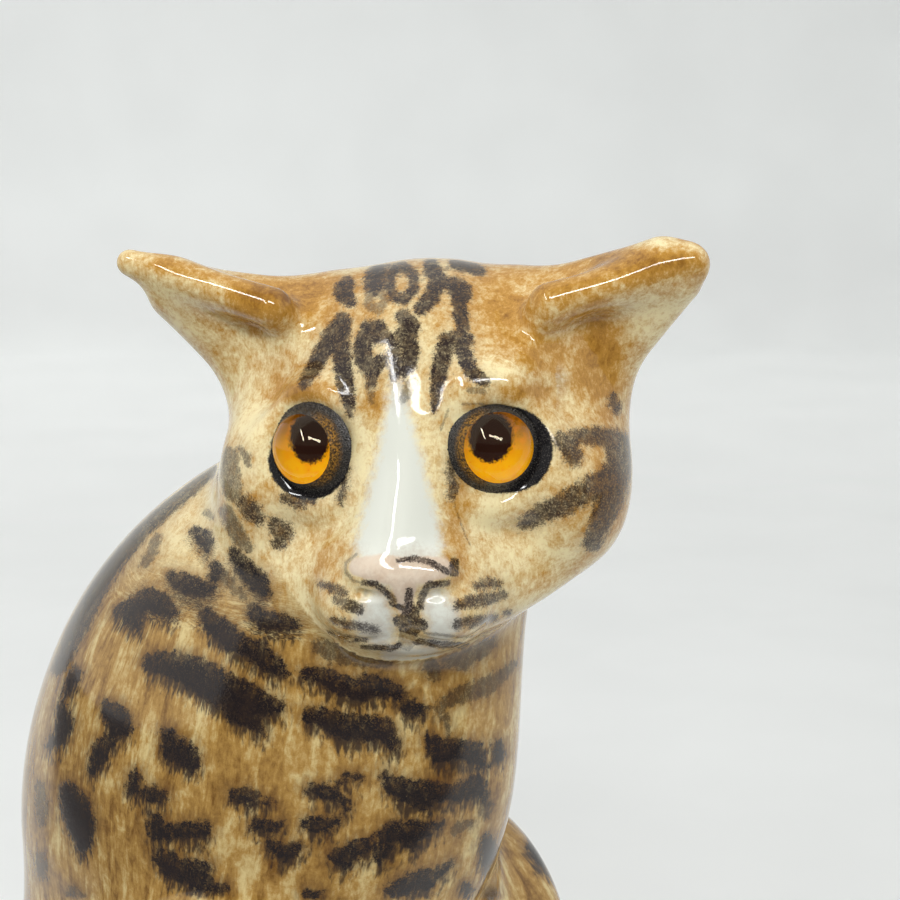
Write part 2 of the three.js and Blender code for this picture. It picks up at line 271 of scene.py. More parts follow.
def add_pair(d, q, mass):
    """A rounded mass added on both sides of the head."""
    for sign in SIDES.values():
        d = add_egg(d, mirrored(q, 0, sign), mass)
    return d


def eye_axis(sign):
    """Where an eye looks, in the head's frame."""
    out, up = math.radians(EYE_TURNED_OUT), math.radians(EYE_TURNED_UP)
    return np.array([sign * math.sin(out) * math.cos(up), -math.cos(out) * math.cos(up), math.sin(up)])


def torso(q):
    """Body, legs, paws and seat, in the body's own frame."""
    d = add_egg(egg(q, **CHEST), q, BACK)
    d = add_egg(d, q, RUMP)
    for sign in SIDES.values():
        near = mirrored(q, 1, sign)
        d = add_limb(d, near, FORELEG)
        for mass in (THIGH, HIP, FOREPAW, HIND_PAW):
            d = add_egg(d, near, mass)
    d = add_egg(d, q, BREAST_WEB)
    return add_egg(d, q, SEAT)


def tail_line(t):
    """Place and thickness of the tail at a share of its length."""
    angle = math.radians(TAIL_START + TAIL_SWEEP * t)
    thick = TAIL_THICK[0] + (TAIL_THICK[1] - TAIL_THICK[0]) * t
    out = 1 - TAIL_ROOT_IN * max(0.0, 1 - t / TAIL_ROOT_LENGTH) ** 2
    x = TAIL_CENTRE[0] + TAIL_REACH[0] * out * math.cos(angle)
    y = TAIL_CENTRE[1] + TAIL_REACH[1] * out * math.sin(angle)
    return (x, y, thick - TAIL_SUNK), thick


def tail(q):
    stations = [tail_line(i / TAIL_STATIONS) for i in range(TAIL_STATIONS + 1)]
    d = np.full(q.shape[1], FAR)
    for (start, thick), (end, next_thick) in zip(stations, stations[1:]):
        d = np.minimum(d, limb(q, start, end, (thick, next_thick)))
    return d


def ear(q, crest, under, rim, hollow):
    """One ear without its hollow, which is pressed out of the whole head."""
    return add_limb(add_limb(limb(q, **crest), q, under), q, rim)


def nose_and_mouth(d, q):
    """Two lobes and a stalk of the nose, its nostrils, the cleft under it and the line of the mouth."""
    near = ball(q, MOUTH_CENTRE, MOUTH_WITHIN) < 0
    if not near.any():
        return d
    m = q[:, near]
    part = d[near]
    centred = m - np.array([[NOSE_MIDDLE], [0], [0]])
    part = add_egg(part, centred, NOSE_TIP)
    part = add_pair(add_limb(part, centred, NOSE_STALK), centred, NOSE_LOBE)
    for sign in SIDES.values():
        part = press_limb(part, mirrored(centred, 0, sign), NOSTRIL)
    part = press_limb(part, m, LIP_CLEFT)
    for start, end in zip(MOUTH_LINE, MOUTH_LINE[1:]):
        part = press(part, limb(m, start, end, (MOUTH_THICK, MOUTH_THICK * MOUTH_THINS)), MOUTH_SOFT)
    out = d.copy()
    out[near] = part
    return out


def skull(q):
    """The whole head's field, in its own frame."""
    d = add_egg(add_pair(egg(q, **CRANIUM), q, CHEEK), q, JAW)
    d = add_limb(d, q, BRIDGE)
    d = add_egg(add_egg(d, q, MUZZLE), q, CHIN)
    d = add_egg(add_pair(d, q, LIP), q, BROW)
    for name in SIDES:
        d = melt(d, ear(q, **EARS[name]), EAR_SOFT)
    for name, sign in SIDES.items():
        axis = eye_axis(sign)
        at = np.array(EYE_SEATS[name]) - axis * EYELID["back"]
        inward = np.clip((abs(at[0]) - sign * q[0]) / EYELID["radius"], 0, 1)
        lid = ring(q, at, axis, EYELID["radius"], EYELID["thick"]) + LID_THINNER * inward**2
        d = melt(d, lid, EYELID["soft"])
    for name in SIDES:
        d = press_limb(d, q, EARS[name]["hollow"])
    d = nose_and_mouth(d, q)
    for name in SIDES:
        d = press(d, ball(q, EYE_SEATS[name], EYE_RADIUS + SOCKET_GAP), SOCKET_SOFT)
    return d


def where_near(p, mask, shape):
    """A shape's field at the points of a mask, and far away at the others."""
    d = np.full(p.shape[1], FAR)
    if mask.any():
        d[mask] = shape(p[:, mask])
    return d


def casting(p):
    """The whole figure's field at points (3, n)."""
    inside = read_in(BODY, p)
    neck_from = write_from(BODY, np.array([NECK_FROM], float).T)[:, 0]
    neck_to = write_from(HEAD, np.array([NECK_TO], float).T)[:, 0]
    d = melt(torso(inside), limb(p, neck_from, neck_to, NECK_THICK), NECK_SOFT)
    q = read_in(HEAD, p)
    close = ball(q, HEAD_MIDDLE, HEAD_REACH) < 0
    d = melt(d, where_near(q, close, skull), HEAD_SOFT)
    return melt(d, where_near(inside, p[2] < TAIL_TOP, tail), TAIL_SOFT)


def in_lots(work, p):
    """What work makes of the points, a lot at a time."""
    return np.concatenate([work(p[:, i : i + LOT]) for i in range(0, p.shape[1], LOT)], -1)


def slope(field, p, step=SLOPE_STEP):
    """The field's gradient, from four points of a tetrahedron."""
    corners = np.array([[1, -1, -1], [-1, -1, 1], [-1, 1, -1], [1, 1, 1]], float)
    total = np.zeros_like(p)
    for corner in corners:
        total += corner[:, None] * field(p + step * corner[:, None])
    return total / (4 * step)


def settle(field, p, rounds=2):
    """Points moved along the field's slope until they lie on the surface."""

    def one(lot):
        for _ in range(rounds):
            g = slope(field, lot)
            lot = lot - g * field(lot) / np.maximum((g * g).sum(0), STEEP_LEAST)
        return lot

    return in_lots(one, p)


def net(field, axes):
    """One point in each crossed cell and one four-sided face on each crossed grid edge."""
    shape = tuple(len(a) for a in axes)
    grid = np.stack(np.meshgrid(*axes, indexing="ij")).reshape(3, -1)
    value = in_lots(field, grid).reshape(shape)
    grid = grid.reshape(3, *shape)
    count = np.zeros(shape, int)
    total = np.zeros((3, *shape))
    crossings = []
    for axis in range(3):
        near = tuple(slice(0, -1) if i == axis else slice(None) for i in range(3))
        far = tuple(slice(1, None) if i == axis else slice(None) for i in range(3))
        a, b = value[near], value[far]
        crossed = (a < 0) != (b < 0)
        at = np.argwhere(crossed)
        share = a[crossed] / (a[crossed] - b[crossed])
        start = grid[(slice(None), *near)][:, crossed]
        point = start + share * (grid[(slice(None), *far)][:, crossed] - start)
        u, v = (axis + 1) % 3, (axis + 2) % 3
        round_edge = []
        for du, dv in ((-1, -1), (0, -1), (0, 0), (-1, 0)):
            cell = at.copy()
            cell[:, u] += du
            cell[:, v] += dv
            flat = np.ravel_multi_index(cell.T, shape)
            np.add.at(count.reshape(-1), flat, 1)
            for i in range(3):
                np.add.at(total[i].reshape(-1), flat, point[i])
            round_edge.append(flat)
        quad = np.stack(round_edge, 1)
        outward = a[crossed] < 0
        quad[~outward] = quad[~outward][:, ::-1]
        crossings.append(quad)
    used = count.reshape(-1) > 0
    number = np.cumsum(used) - 1
    points = total.reshape(3, -1)[:, used] / count.reshape(-1)[used]
    return points, number[np.concatenate(crossings)]


def halves(points, quads):
    """Four-sided faces cut along their shorter diagonal."""
    a, b, c, d = quads.T
    across = np.linalg.norm(points[:, a] - points[:, c], axis=0)
    other = np.linalg.norm(points[:, b] - points[:, d], axis=0)
    first = across < other
    one = np.where(first[:, None], np.stack([a, b, c], 1), np.stack([a, b, d], 1))
    two = np.where(first[:, None], np.stack([a, c, d], 1), np.stack([b, c, d], 1))
    return np.concatenate([one, two])


def split_long_edges(field, points, faces, wanted):
    """Splits every edge that is longer than wanted at its place, and keeps the faces joined."""
    edges = np.concatenate([faces[:, [0, 1]], faces[:, [1, 2]], faces[:, [2, 0]]])
    edges.sort(axis=1)
    total = points.shape[1]
    key, inverse = np.unique(edges[:, 0].astype(np.int64) * total + edges[:, 1], return_inverse=True)
    a, b = key // total, key % total
    middle = (points[:, a] + points[:, b]) / 2
    long = np.linalg.norm(points[:, a] - points[:, b], axis=0) > wanted(middle)
    number = np.full(len(key), -1)
    number[long] = total + np.arange(long.sum())
    points = np.concatenate([points, settle(field, middle[:, long])], 1)
    marks = number[inverse].reshape(3, -1).T
    split = marks >= 0
    count = split.sum(1)
    # Turned so that the first edge is split, and where two are split, the last is whole
    good = split & ~((count == 2)[:, None] & np.roll(split, 1, axis=1))
    order = (np.argmax(good, 1)[:, None] + np.arange(3)) % 3
    faces = np.take_along_axis(faces, order, 1)
    marks = np.take_along_axis(marks, order, 1)
    a, b, c = faces.T
    ab, bc, ca = marks.T
    whole, one, two, three = (count == n for n in range(4))

    def pick(mask, *names):
        return np.stack([n[mask] for n in names], 1)

    made = [
        faces[whole],
        pick(one, a, ab, c), pick(one, ab, b, c),
        pick(two, ab, b, bc), halves(points, pick(two, a, ab, bc, c)),
        pick(three, a, ab, ca), pick(three, ab, b, bc), pick(three, ca, bc, c), pick(three, ab, bc, ca),
    ]
    return points, np.concatenate(made)


# How finely the casting is meshed: the first net's cell, then the longest edge wanted at a place
CELL = 2.4
CELL_SHIFT = 0.31
SPACE_LOW = (-110, -90, -12)
SPACE_HIGH = (110, 90, 284)
NET_ROUNDS = 3
EDGE_ROUNDS = 4
BELOW_GROUND = -6.0
BACK_EDGE = 3.4
FRONT_EDGE = 1.75
FRONT_SKEW = 0.5
FRONT_FROM = -20
BELOW_PICTURE = 40
HEAD_EDGE = 1.9
HEAD_WITHIN = 75
EAR_EDGE = 1.25
EAR_OUT = 30
EAR_UP = 2
FACE_EDGE = 0.92
FACE_MIDDLE = (0, -2, -4)
FACE_REACH = 40
FACE_DEEP = 24
FEATURE_EDGE = 0.5
EYE_REACH = 13.5
MOUTH_MIDDLE = (0, -12, -27)
MOUTH_REACH = 15

# The camera: where it stands, how far it looks down, its lens on a 36 mm sensor, and the picture's pixels
CAMERA_AT = (45.3, -341.6, 285.0)
CAMERA_DOWN = 10.0
LENS = 60.0
SENSOR = 36.0
PICTURE = 900


def in_picture(p):
    """Pixels of points (3, n) in the photograph's frame, and their depth."""
    down = math.radians(CAMERA_DOWN)
    v = p - np.array(CAMERA_AT)[:, None]
    depth = v[1] * math.cos(down) - v[2] * math.sin(down)
    up = v[1] * math.sin(down) + v[2] * math.cos(down)
    pixels = PICTURE * LENS / SENSOR / depth
    return PICTURE / 2 + v[0] * pixels, PICTURE / 2 - up * pixels, depth


def wanted_edge(p):
    """Longest edge wanted at points: finest round the eyes, nose and mouth."""
    q = read_in(HEAD, p)
    y = in_picture(p)[1]
    front = read_in(BODY, p)[0] + (p[0] * FRONT_SKEW - p[1]) > FRONT_FROM
    edge = np.where(front & (y < PICTURE + BELOW_PICTURE), FRONT_EDGE, BACK_EDGE)
    head = ball(q, HEAD_MIDDLE, HEAD_WITHIN) < 0
    edge = np.where(head, np.minimum(edge, HEAD_EDGE), edge)
    edge = np.where(head & (np.abs(q[0]) > EAR_OUT) & (q[2] > EAR_UP), EAR_EDGE, edge)
    face = (ball(q, FACE_MIDDLE, FACE_REACH) < 0) & (q[1] < FACE_DEEP)
    edge = np.where(face, FACE_EDGE, edge)
    fine = ball(q, MOUTH_MIDDLE, MOUTH_REACH) < 0
    for seat in EYE_SEATS.values():
        fine |= ball(q, seat, EYE_REACH) < 0
    return np.where(fine, FEATURE_EDGE, edge)


def trimmed(p):
    """The casting, ended a little under the ground that it will be cut at."""
    return np.maximum(casting(p), BELOW_GROUND - p[2])


def casting_mesh():
    """The figure's surface: points in millimetres (3, n) and triangles."""
    axes = [np.arange(low, high, CELL) + CELL_SHIFT for low, high in zip(SPACE_LOW, SPACE_HIGH)]
    points, quads = net(trimmed, axes)
    points = settle(trimmed, points, NET_ROUNDS)
    faces = halves(points, quads)
    for _ in range(EDGE_ROUNDS):
        points, faces = split_long_edges(trimmed, points, faces, wanted_edge)
    return points, faces


# Colours as a screen shows them: red, green and blue, 0 to 255
COLOURS = {
    "cream": (246, 231, 180), "ochre": (197, 146, 62), "ochre_brown": (122, 76, 18),
    "coat_tan": (178, 139, 72), "coat_light": (222, 202, 144), "coat_dark": (104, 66, 18),
    "ear_ridge": (176, 148, 112), "ear_pale": (222, 214, 194), "blaze": (229, 231, 219),
    "nose_pale": (235, 224, 205), "nose_pink": (222, 198, 172),
    "halo_head": (150, 104, 58), "halo_body": (98, 68, 38), "trail": (52, 40, 32),
    "ink_brown": (46, 33, 28), "ink_slate": (13, 18, 25), "ink_worn": (46, 34, 32),
    "rim_black": (26, 24, 25), "rim_grey": (74, 70, 66), "bare_clay": (226, 214, 192),
    "amber_bottom_lit": (244, 172, 0), "amber_high": (120, 62, 0), "amber_cloud": (226, 134, 0),
    "amber_dot": (120, 60, 4), "pupil": (34, 14, 8),
    "bed_black": (30, 28, 28), "bed_grey": (112, 106, 96),
    "bed_amber_reflection": (60, 42, 14), "bed_gold": (170, 120, 34),
    "paper": (232, 234, 233), "paper_pale": (236, 238, 237), "floor_dark": (104, 104, 106),
}

# Noises: waves to a millimetre, then detail, roughness and distortion
NOISES = {
    "edge_fine": (3.0, 2.0, 0.6), "edge_broad": (0.7, 3.0, 0.55),
    "clouds": (0.11, 4.0, 0.6, 0.4), "daubs": (0.5, 5.0, 0.68, 0.5), "grain": (3.2, 2.0, 0.6),
    "dabs": (1.5, 3.0, 0.6, 0.6), "streaks": (0.24, 4.0, 0.62, 0.8), "fine_streaks": (1.1, 3.0, 0.6, 0.5),
    "peel": (1.6, 3.0, 0.55), "wave": (0.085, 1.0, 0.4), "sheen": (0.3, 3.0, 0.6),
    "ear_ridge": (1.4, 3.0, 0.6), "nose_pink": (0.5, 3.0, 0.55), "brushed": (1.3, 3.0, 0.6, 0.4),
    "thin": (0.55, 3.0, 0.6), "specks": (2.6, 2.0, 0.6),
    "ink_worn": (0.12, 2.0, 0.55), "rim_grey": (3.0, 2.0, 0.55),
    "pupil": (2.6, 3.0, 0.6), "amber_cloud": (0.8, 3.0, 0.55), "amber_dot": (3.4, 1.0, 0.5),
    "cement": (4.0, 3.0, 0.65), "bed_gold": (2.2, 2.0, 0.6), "paper": (0.006, 3.0, 0.55),
}

# Bands: a value from the first number to the second becomes 0 to 1, or the third number to the fourth
BANDS = {
    "head_ochre": (0.59, 1.07), "head_brown": (0.92, 1.45, 0.0, 0.9),
    "low_down": (190.0, 90.0, 0.0, 0.06), "far_right": (12.0, -40.0, 0.0, 0.03),
    "coat_light": (0.70, 0.44, 0.0, 0.9), "coat_dark": (0.62, 0.95, 0.0, 0.92),
    "sheen": (0.3, 0.8, 0.03, 0.07), "ear_ridge": (0.42, 0.62),
    "halo": (-3.2, 0.6), "halo_most": (0.0, 1.0, 0.3, 0.62), "trail": (-1.2, 1.6, 0.0, 0.9),
    "thin": (0.42, 0.66, 1.0, 0.8), "specks": (0.5, 0.66, 1.0, 0.6),
    "ink_worn": (0.48, 0.66, 0.0, 0.3), "rim_grey": (0.5, 0.75),
    "pupil": (-0.25, 0.35), "amber_high": (-4.0, 5.0), "amber_cloud": (0.4, 0.75, 0.0, 0.5),
    "amber_dot": (0.68, 0.76, 0.0, 0.5),
    "bed_grey": (0.45, 0.75), "bed_gold": (0.4, 0.65), "bed_inner": (0.45, 0.15), "toward_nose": (0.1, 0.8),
    "cement_sheen": (0.3, 0.8, 0.08, 0.3),
    "paper": (0.3, 0.7), "paper_edge": (-190.0, -110.0),
    "far_glow": (200.0, 1800.0, 0.05, 0.24), "left_glow": (900.0, -900.0, 0.0, 0.08),
}

# How much each noise moves the head's ochre and the body's coat
HEAD_SHARE = dict(clouds=0.8, daubs=0.7, grain=0.22, dabs=0.45, dabbed_on=0.5)
BODY_SHARE = dict(streaks=0.9, daubs=0.4, fine_streaks=0.32, grain=0.12, clouds=0.4)

# How paint is edged: how soft, how far it wanders and how grainy; for marks, on the head and more on the body
WHITE_EDGE = dict(Soft=1.6, Wander=3.0, Grain=1.2)
PINK_EDGE = dict(Soft=0.35, Wander=0.6, Grain=0.5)
RIM_EDGE = dict(Soft=0.25, Wander=0.7, Grain=0.9)
MARK_SOFT = (0.42, 0.1)
MARK_WANDER = (1.6, 1.9)
MARK_GRAIN = 1.9
HALO_RAGGED = 5.0
TRAIL_RAGGED = 9.0
TRAIL_MIDDLE = 0.52

# How noise is drawn out across, back and up, for the dabs of ochre, the ears' ridges and the coat's hairs
DABS_DRAWN = (1.0, 1.0, 0.4)
EAR_RIDGES_DRAWN = (0.25, 1.0, 1.0)
HAIRS_DRAWN = 0.24

# Heights of bumps in millimetres, then the ears' cover, the bare clay's roughness and the glaze's index
EAR_RIDGE_HIGH = 0.1
PAINT_HIGH = 0.012
PEEL_HIGH = 0.01
WAVE_HIGH = 0.06
CEMENT_HIGH = 0.12
EAR_COVERED = 0.95
BARE_ROUGH = 0.6
GLAZE_INDEX = 1.5

# Values at the mesh's points that say how a mark was laid: the ink's strength and colour, and its edge
HAND_VALUES = ("mark_strength", "mark_slate", "mark_loose")

# Eyes: the glass by plain values, the pupil's place and half size on the painted disc, and how much the disc
# glows as painted light
GLASS_VALUES = {
    "Base Color": (1.0, 0.97, 0.9, 1.0), "Specular Tint": (1.0, 0.88, 0.64, 1.0),
    "Roughness": 0.0, "IOR": 1.5, "Transmission Weight": 1.0,
}
PUPIL_AT = (-0.5, 1.3)
PUPIL_HALF = (3.2, 3.6)
PUPIL_RAGGED = 1.5
IRIS_PAINTED_LIGHT = 0.55
IRIS_ROUGH = 0.4

# The backdrop's paper ends before the figure, on a slant to the left of a corner
PAPER_CORNER = 30.0
PAPER_SLANT = 0.9
PAPER_ROUGH = 0.55
MILLIMETRES = (1000.0, 1000.0, 1000.0)


def srgb(red, green, blue):
    """A colour picked on a screen, in linear light."""

    def linear(c):
        c /= 255
        return c / 12.92 if c <= 0.04045 else ((c + 0.055) / 1.055) ** 2.4

    return (linear(red), linear(green), linear(blue), 1.0)


class Nodes:
    """Adds nodes to a tree, with links or plain values; noises, bands and colours go by their names."""

    def __init__(self, tree, prefix="ShaderNode"):
        self.tree = tree
        self.prefix = prefix

    def feed(self, made, values):
        for key, value in values.items():
            if isinstance(value, bpy.types.NodeSocket):
                self.tree.links.new(value, made.inputs[key])
            else:
                made.inputs[key].default_value = value
        return made

    def add(self, kind, values=None, **settings):
        made = self.tree.nodes.new(self.prefix + kind)
        for key, value in settings.items():
            setattr(made, key, value)
        return self.feed(made, values or {})

    def group(self, tree, values):
        made = self.add("Group")
        made.node_tree = tree
        return self.feed(made, values).outputs

    def math(self, kind, *values, clamp=False):
        return self.add("Math", dict(enumerate(values)), operation=kind, use_clamp=clamp).outputs[0]

    def plus(self, a, b):
        return self.math("ADD", a, b)

    def less(self, a, b):
        return self.math("SUBTRACT", a, b)

    def times(self, a, b):
        return self.math("MULTIPLY", a, b)

    def times_plus(self, a, b, c):
        return self.math("MULTIPLY_ADD", a, b, c)

    def length(self, a, b):
        return self.math("SQRT", self.plus(self.times(a, a), self.times(b, b)))

    def sway(self, base, noise, by, middle=0.5):
        """A value moved up and down by a noise."""
        return self.times_plus(self.less(noise, middle), by, base)

    def ramp(self, value, at, steep):
        """From 0 to 1 in a straight line, half way at a place."""
        return self.math("MULTIPLY_ADD", self.less(value, at), steep, 0.5, clamp=True)

    def split(self, vector):
        return self.add("SeparateXYZ", {0: vector}).outputs

    def stretch(self, vector, scale):
        return self.add("VectorMath", {0: vector, 1: scale}, operation="MULTIPLY").outputs[0]

    def noise(self, vector, name):
        values = dict(zip(("Scale", "Detail", "Roughness", "Distortion"), NOISES[name]))
        return self.add("TexNoise", {"Vector": vector, **values}).outputs["Fac"]

    def band(self, value, name):
        ends = BANDS[name] if isinstance(name, str) else name
        values = {"Value": value, **dict(zip(("From Min", "From Max", "To Min", "To Max"), ends))}
        return self.add("MapRange", values, interpolation_type="SMOOTHSTEP").outputs["Result"]

    def mix(self, share, a, b):
        a, b = (srgb(*COLOURS[c]) if isinstance(c, str) else c for c in (a, b))
        return self.add("Mix", {0: share, 6: a, 7: b}, data_type="RGBA").outputs[2]

    def attribute(self, name):
        return self.add("Attribute", attribute_name=name).outputs["Fac"]

    def bump(self, height):
        return self.add("Bump", {"Height": height, "Distance": METRES, "Strength": 1.0}).outputs["Normal"]


def node_group(kind, name, inputs, outputs):
    """An empty group with named sockets: its builder, its inputs and its end node."""
    tree = bpy.data.node_groups.new(name, kind + "NodeTree")
    for way, sockets in (("INPUT", inputs), ("OUTPUT", outputs)):
        for label, socket_kind in sockets.items():
            tree.interface.new_socket(label, in_out=way, socket_type="NodeSocket" + socket_kind)
    start, end = tree.nodes.new("NodeGroupInput"), tree.nodes.new("NodeGroupOutput")
    return Nodes(tree, kind + "Node"), start.outputs, end


def grainy_edge_group():
    """Where a layer of paint covers: its depth, broken by fine grain and by the brush."""
    inputs = dict(Place="Vector", Depth="Float", Grain="Float", Wander="Float", Soft="Float")
    nodes, given, end = node_group("Shader", "grainy_edge", inputs, dict(Cover="Float"))
    depth = nodes.sway(given["Depth"], nodes.noise(given["Place"], "edge_fine"), given["Grain"])
    depth = nodes.sway(depth, nodes.noise(given["Place"], "edge_broad"), given["Wander"])
    nodes.feed(end, {"Cover": nodes.band(depth, (nodes.times(given["Soft"], -1.0), given["Soft"]))})
    return nodes.tree


def sponged_coat_group():
    """Cream ground with ochre sponged over it; on the body it is tanner and runs down in streaks."""
    inputs = dict(Place="Vector", Hairs="Vector", Ochre="Float", Body="Float")
    nodes, given, end = node_group("Shader", "sponged_coat", inputs, dict(Color="Color"))
    place = given["Place"]
    noise = {name: nodes.noise(place, name) for name in ("clouds", "daubs", "grain")}
    noise |= {name: nodes.noise(given["Hairs"], name) for name in ("streaks", "fine_streaks")}
    noise["dabs"] = nodes.noise(nodes.stretch(place, DABS_DRAWN), "dabs")

    amount = nodes.times(noise["daubs"], HEAD_SHARE["daubs"])
    amount = nodes.times_plus(noise["clouds"], HEAD_SHARE["clouds"], amount)
    for name in ("grain", "dabs"):
        amount = nodes.sway(amount, noise[name], HEAD_SHARE[name])
    amount = nodes.plus(amount, nodes.times(given["Ochre"], HEAD_SHARE["dabbed_on"]))
    head = nodes.mix(nodes.band(amount, "head_ochre"), "cream", "ochre")
    head = nodes.mix(nodes.band(amount, "head_brown"), head, "ochre_brown")

    amount = nodes.times(noise["daubs"], BODY_SHARE["daubs"])
    amount = nodes.times_plus(noise["streaks"], BODY_SHARE["streaks"], amount)
    for name in ("fine_streaks", "grain", "clouds"):
        amount = nodes.sway(amount, noise[name], BODY_SHARE[name])
    across, _, up = nodes.split(place)
    # The coat is darker lower down, and darker on the cat's right side as painted shade
    for value, name in ((up, "low_down"), (across, "far_right")):
        amount = nodes.plus(amount, nodes.band(value, name))
    coat = nodes.mix(nodes.band(amount, "coat_light"), "coat_tan", "coat_light")
    coat = nodes.mix(nodes.band(amount, "coat_dark"), coat, "coat_dark")
    nodes.feed(end, {"Color": nodes.mix(given["Body"], head, coat)})
    return nodes.tree


def glaze_skin_group():
    """The glaze's own surface: faint orange peel, slow waves of the hand, and a sheen that varies."""
    outputs = dict(Height="Float", Roughness="Float")
    nodes, given, end = node_group("Shader", "glaze_skin", dict(Place="Vector"), outputs)
    peel, wave, sheen = (nodes.noise(given["Place"], name) for name in ("peel", "wave", "sheen"))
    height = nodes.times_plus(wave, WAVE_HIGH, nodes.times(peel, PEEL_HIGH))
    nodes.feed(end, {"Height": height, "Roughness": nodes.band(sheen, "sheen")})
    return nodes.tree


def new_material(name):
    """A new material, the builder of its nodes, its shader, and a place in millimetres."""
    material = bpy.data.materials.new(name)
    material.use_nodes = True
    nodes = Nodes(material.node_tree)
    place = nodes.stretch(nodes.add("TexCoord").outputs["Object"], MILLIMETRES)
    return material, nodes, material.node_tree.nodes["Principled BSDF"], place


def coat_place(nodes, place, body):
    """Where the coat's noise is read: plainly on the head, drawn out down the hairs on the body."""
    values = {0: nodes.attribute("around"), 2: nodes.times(nodes.split(place)[2], HAIRS_DRAWN)}
    values = {0: body, 4: place, 5: nodes.add("CombineXYZ", values).outputs[0]}
    return nodes.add("Mix", values, data_type="VECTOR", factor_mode="UNIFORM").outputs[1]


def painted_glaze():
    """Underglaze colours on a pale ceramic body, all under one clear, thick glaze."""
    material, nodes, shader, place = new_material("painted_glaze")
    edges, coats, skins = grainy_edge_group(), sponged_coat_group(), glaze_skin_group()
    body, ear, bare = map(nodes.attribute, ("on_body", "ear", "bare"))
    strength, slate, loose = map(nodes.attribute, HAND_VALUES)
    drawn = coat_place(nodes, place, body)
    coat = {"Place": place, "Hairs": drawn, "Ochre": nodes.attribute("ochre"), "Body": body}
    colour = nodes.group(coats, coat)["Color"]

    def cover(name, edge):
        return nodes.group(edges, {"Place": place, "Depth": nodes.attribute(name), **edge})["Cover"]

    def patch(name):
        return nodes.band(nodes.noise(place, name), name)

    def on_marks(on_head, more_on_body):
        return nodes.times(nodes.times_plus(body, more_on_body, on_head), loose)

    # The hollows of the ears, the white blaze and lips, and the pink nose
    ridges = nodes.band(nodes.noise(nodes.stretch(place, EAR_RIDGES_DRAWN), "ear_ridge"), "ear_ridge")
    colour = nodes.mix(nodes.times(ear, EAR_COVERED), colour, nodes.mix(ridges, "ear_ridge", "ear_pale"))
    colour = nodes.mix(cover("white", WHITE_EDGE), colour, "blaze")
    pink = nodes.mix(nodes.noise(place, "nose_pink"), "nose_pale", "nose_pink")
    colour = nodes.mix(cover("pink", PINK_EDGE), colour, pink)

    # The marks: a brown halo, a thin trail that the brush leaves, then the ink itself
    streaks = nodes.noise(drawn, "brushed")
    halo = nodes.band(nodes.sway(nodes.attribute("mark"), streaks, HALO_RAGGED), "halo")
    halo = nodes.times(nodes.times(halo, nodes.band(body, "halo_most")), strength)
    colour = nodes.mix(halo, colour, nodes.mix(body, "halo_head", "halo_body"))
    trail = nodes.sway(nodes.attribute("mark_trail"), streaks, TRAIL_RAGGED, TRAIL_MIDDLE)
    colour = nodes.mix(nodes.times(nodes.band(trail, "trail"), strength), colour, "trail")
    edge = dict(Soft=on_marks(*MARK_SOFT), Wander=on_marks(*MARK_WANDER))
    mark = cover("mark", edge | dict(Grain=nodes.times(loose, MARK_GRAIN)))
    mark = nodes.times(nodes.times(mark, patch("specks")), nodes.times(strength, patch("thin")))
    ink = nodes.mix(slate, "ink_brown", "ink_slate")
    colour = nodes.mix(mark, colour, nodes.mix(patch("ink_worn"), ink, "ink_worn"))

    # The black rims of the eyes, and the bare clay underneath
    rim = cover("rim", RIM_EDGE)
    colour = nodes.mix(rim, colour, nodes.mix(patch("rim_grey"), "rim_black", "rim_grey"))
    colour = nodes.mix(bare, colour, "bare_clay")

    skin = nodes.group(skins, {"Place": place})
    raised = nodes.times_plus(nodes.math("MAXIMUM", mark, rim), PAINT_HIGH, skin["Height"])
    raised = nodes.times_plus(nodes.times(ridges, ear), EAR_RIDGE_HIGH, raised)
    nodes.feed(shader, {"Base Color": colour, "Normal": nodes.bump(raised), "IOR": GLAZE_INDEX})
    nodes.feed(shader, {"Roughness": nodes.times_plus(bare, BARE_ROUGH, skin["Roughness"])})
    return material


def eye_glass():
    """Clear glass, by plain values."""
    material = bpy.data.materials.new("eye_glass")
    material.use_nodes = True
    Nodes(material.node_tree).feed(material.node_tree.nodes["Principled BSDF"], GLASS_VALUES)
    return material


def iris_paint():
    """Amber colour behind the glass, with a tall dark pupil that breaks up at its edge; the amber is bright
    at the bottom as painted light and darker at the top as painted shade.
    """
    material, nodes, shader, place = new_material("iris_paint")
    across, up = nodes.attribute("across"), nodes.attribute("up")
    off_centre = [
        nodes.math("DIVIDE", nodes.less(value, at), half)
        for value, at, half in zip((across, up), PUPIL_AT, PUPIL_HALF)
    ]
    depth = nodes.times(nodes.less(1.0, nodes.length(*off_centre)), PUPIL_HALF[0])
    depth = nodes.sway(depth, nodes.noise(place, "pupil"), PUPIL_RAGGED)
    # Painted light and shade on the amber: bright at the bottom, darker toward the top
    amber = nodes.mix(nodes.band(up, "amber_high"), "amber_bottom_lit", "amber_high")
    for name in ("amber_cloud", "amber_dot"):
        amber = nodes.mix(nodes.band(nodes.noise(place, name), name), amber, name)
    colour = nodes.mix(nodes.band(depth, "pupil"), amber, "pupil")
    # Painted light: the disc glows a little in its own colour
    nodes.feed(shader, {"Base Color": colour, "Emission Color": colour, "Emission Strength": IRIS_PAINTED_LIGHT})
    nodes.feed(shader, {"Roughness": IRIS_ROUGH, "Specular IOR Level": 0.0})
    return material


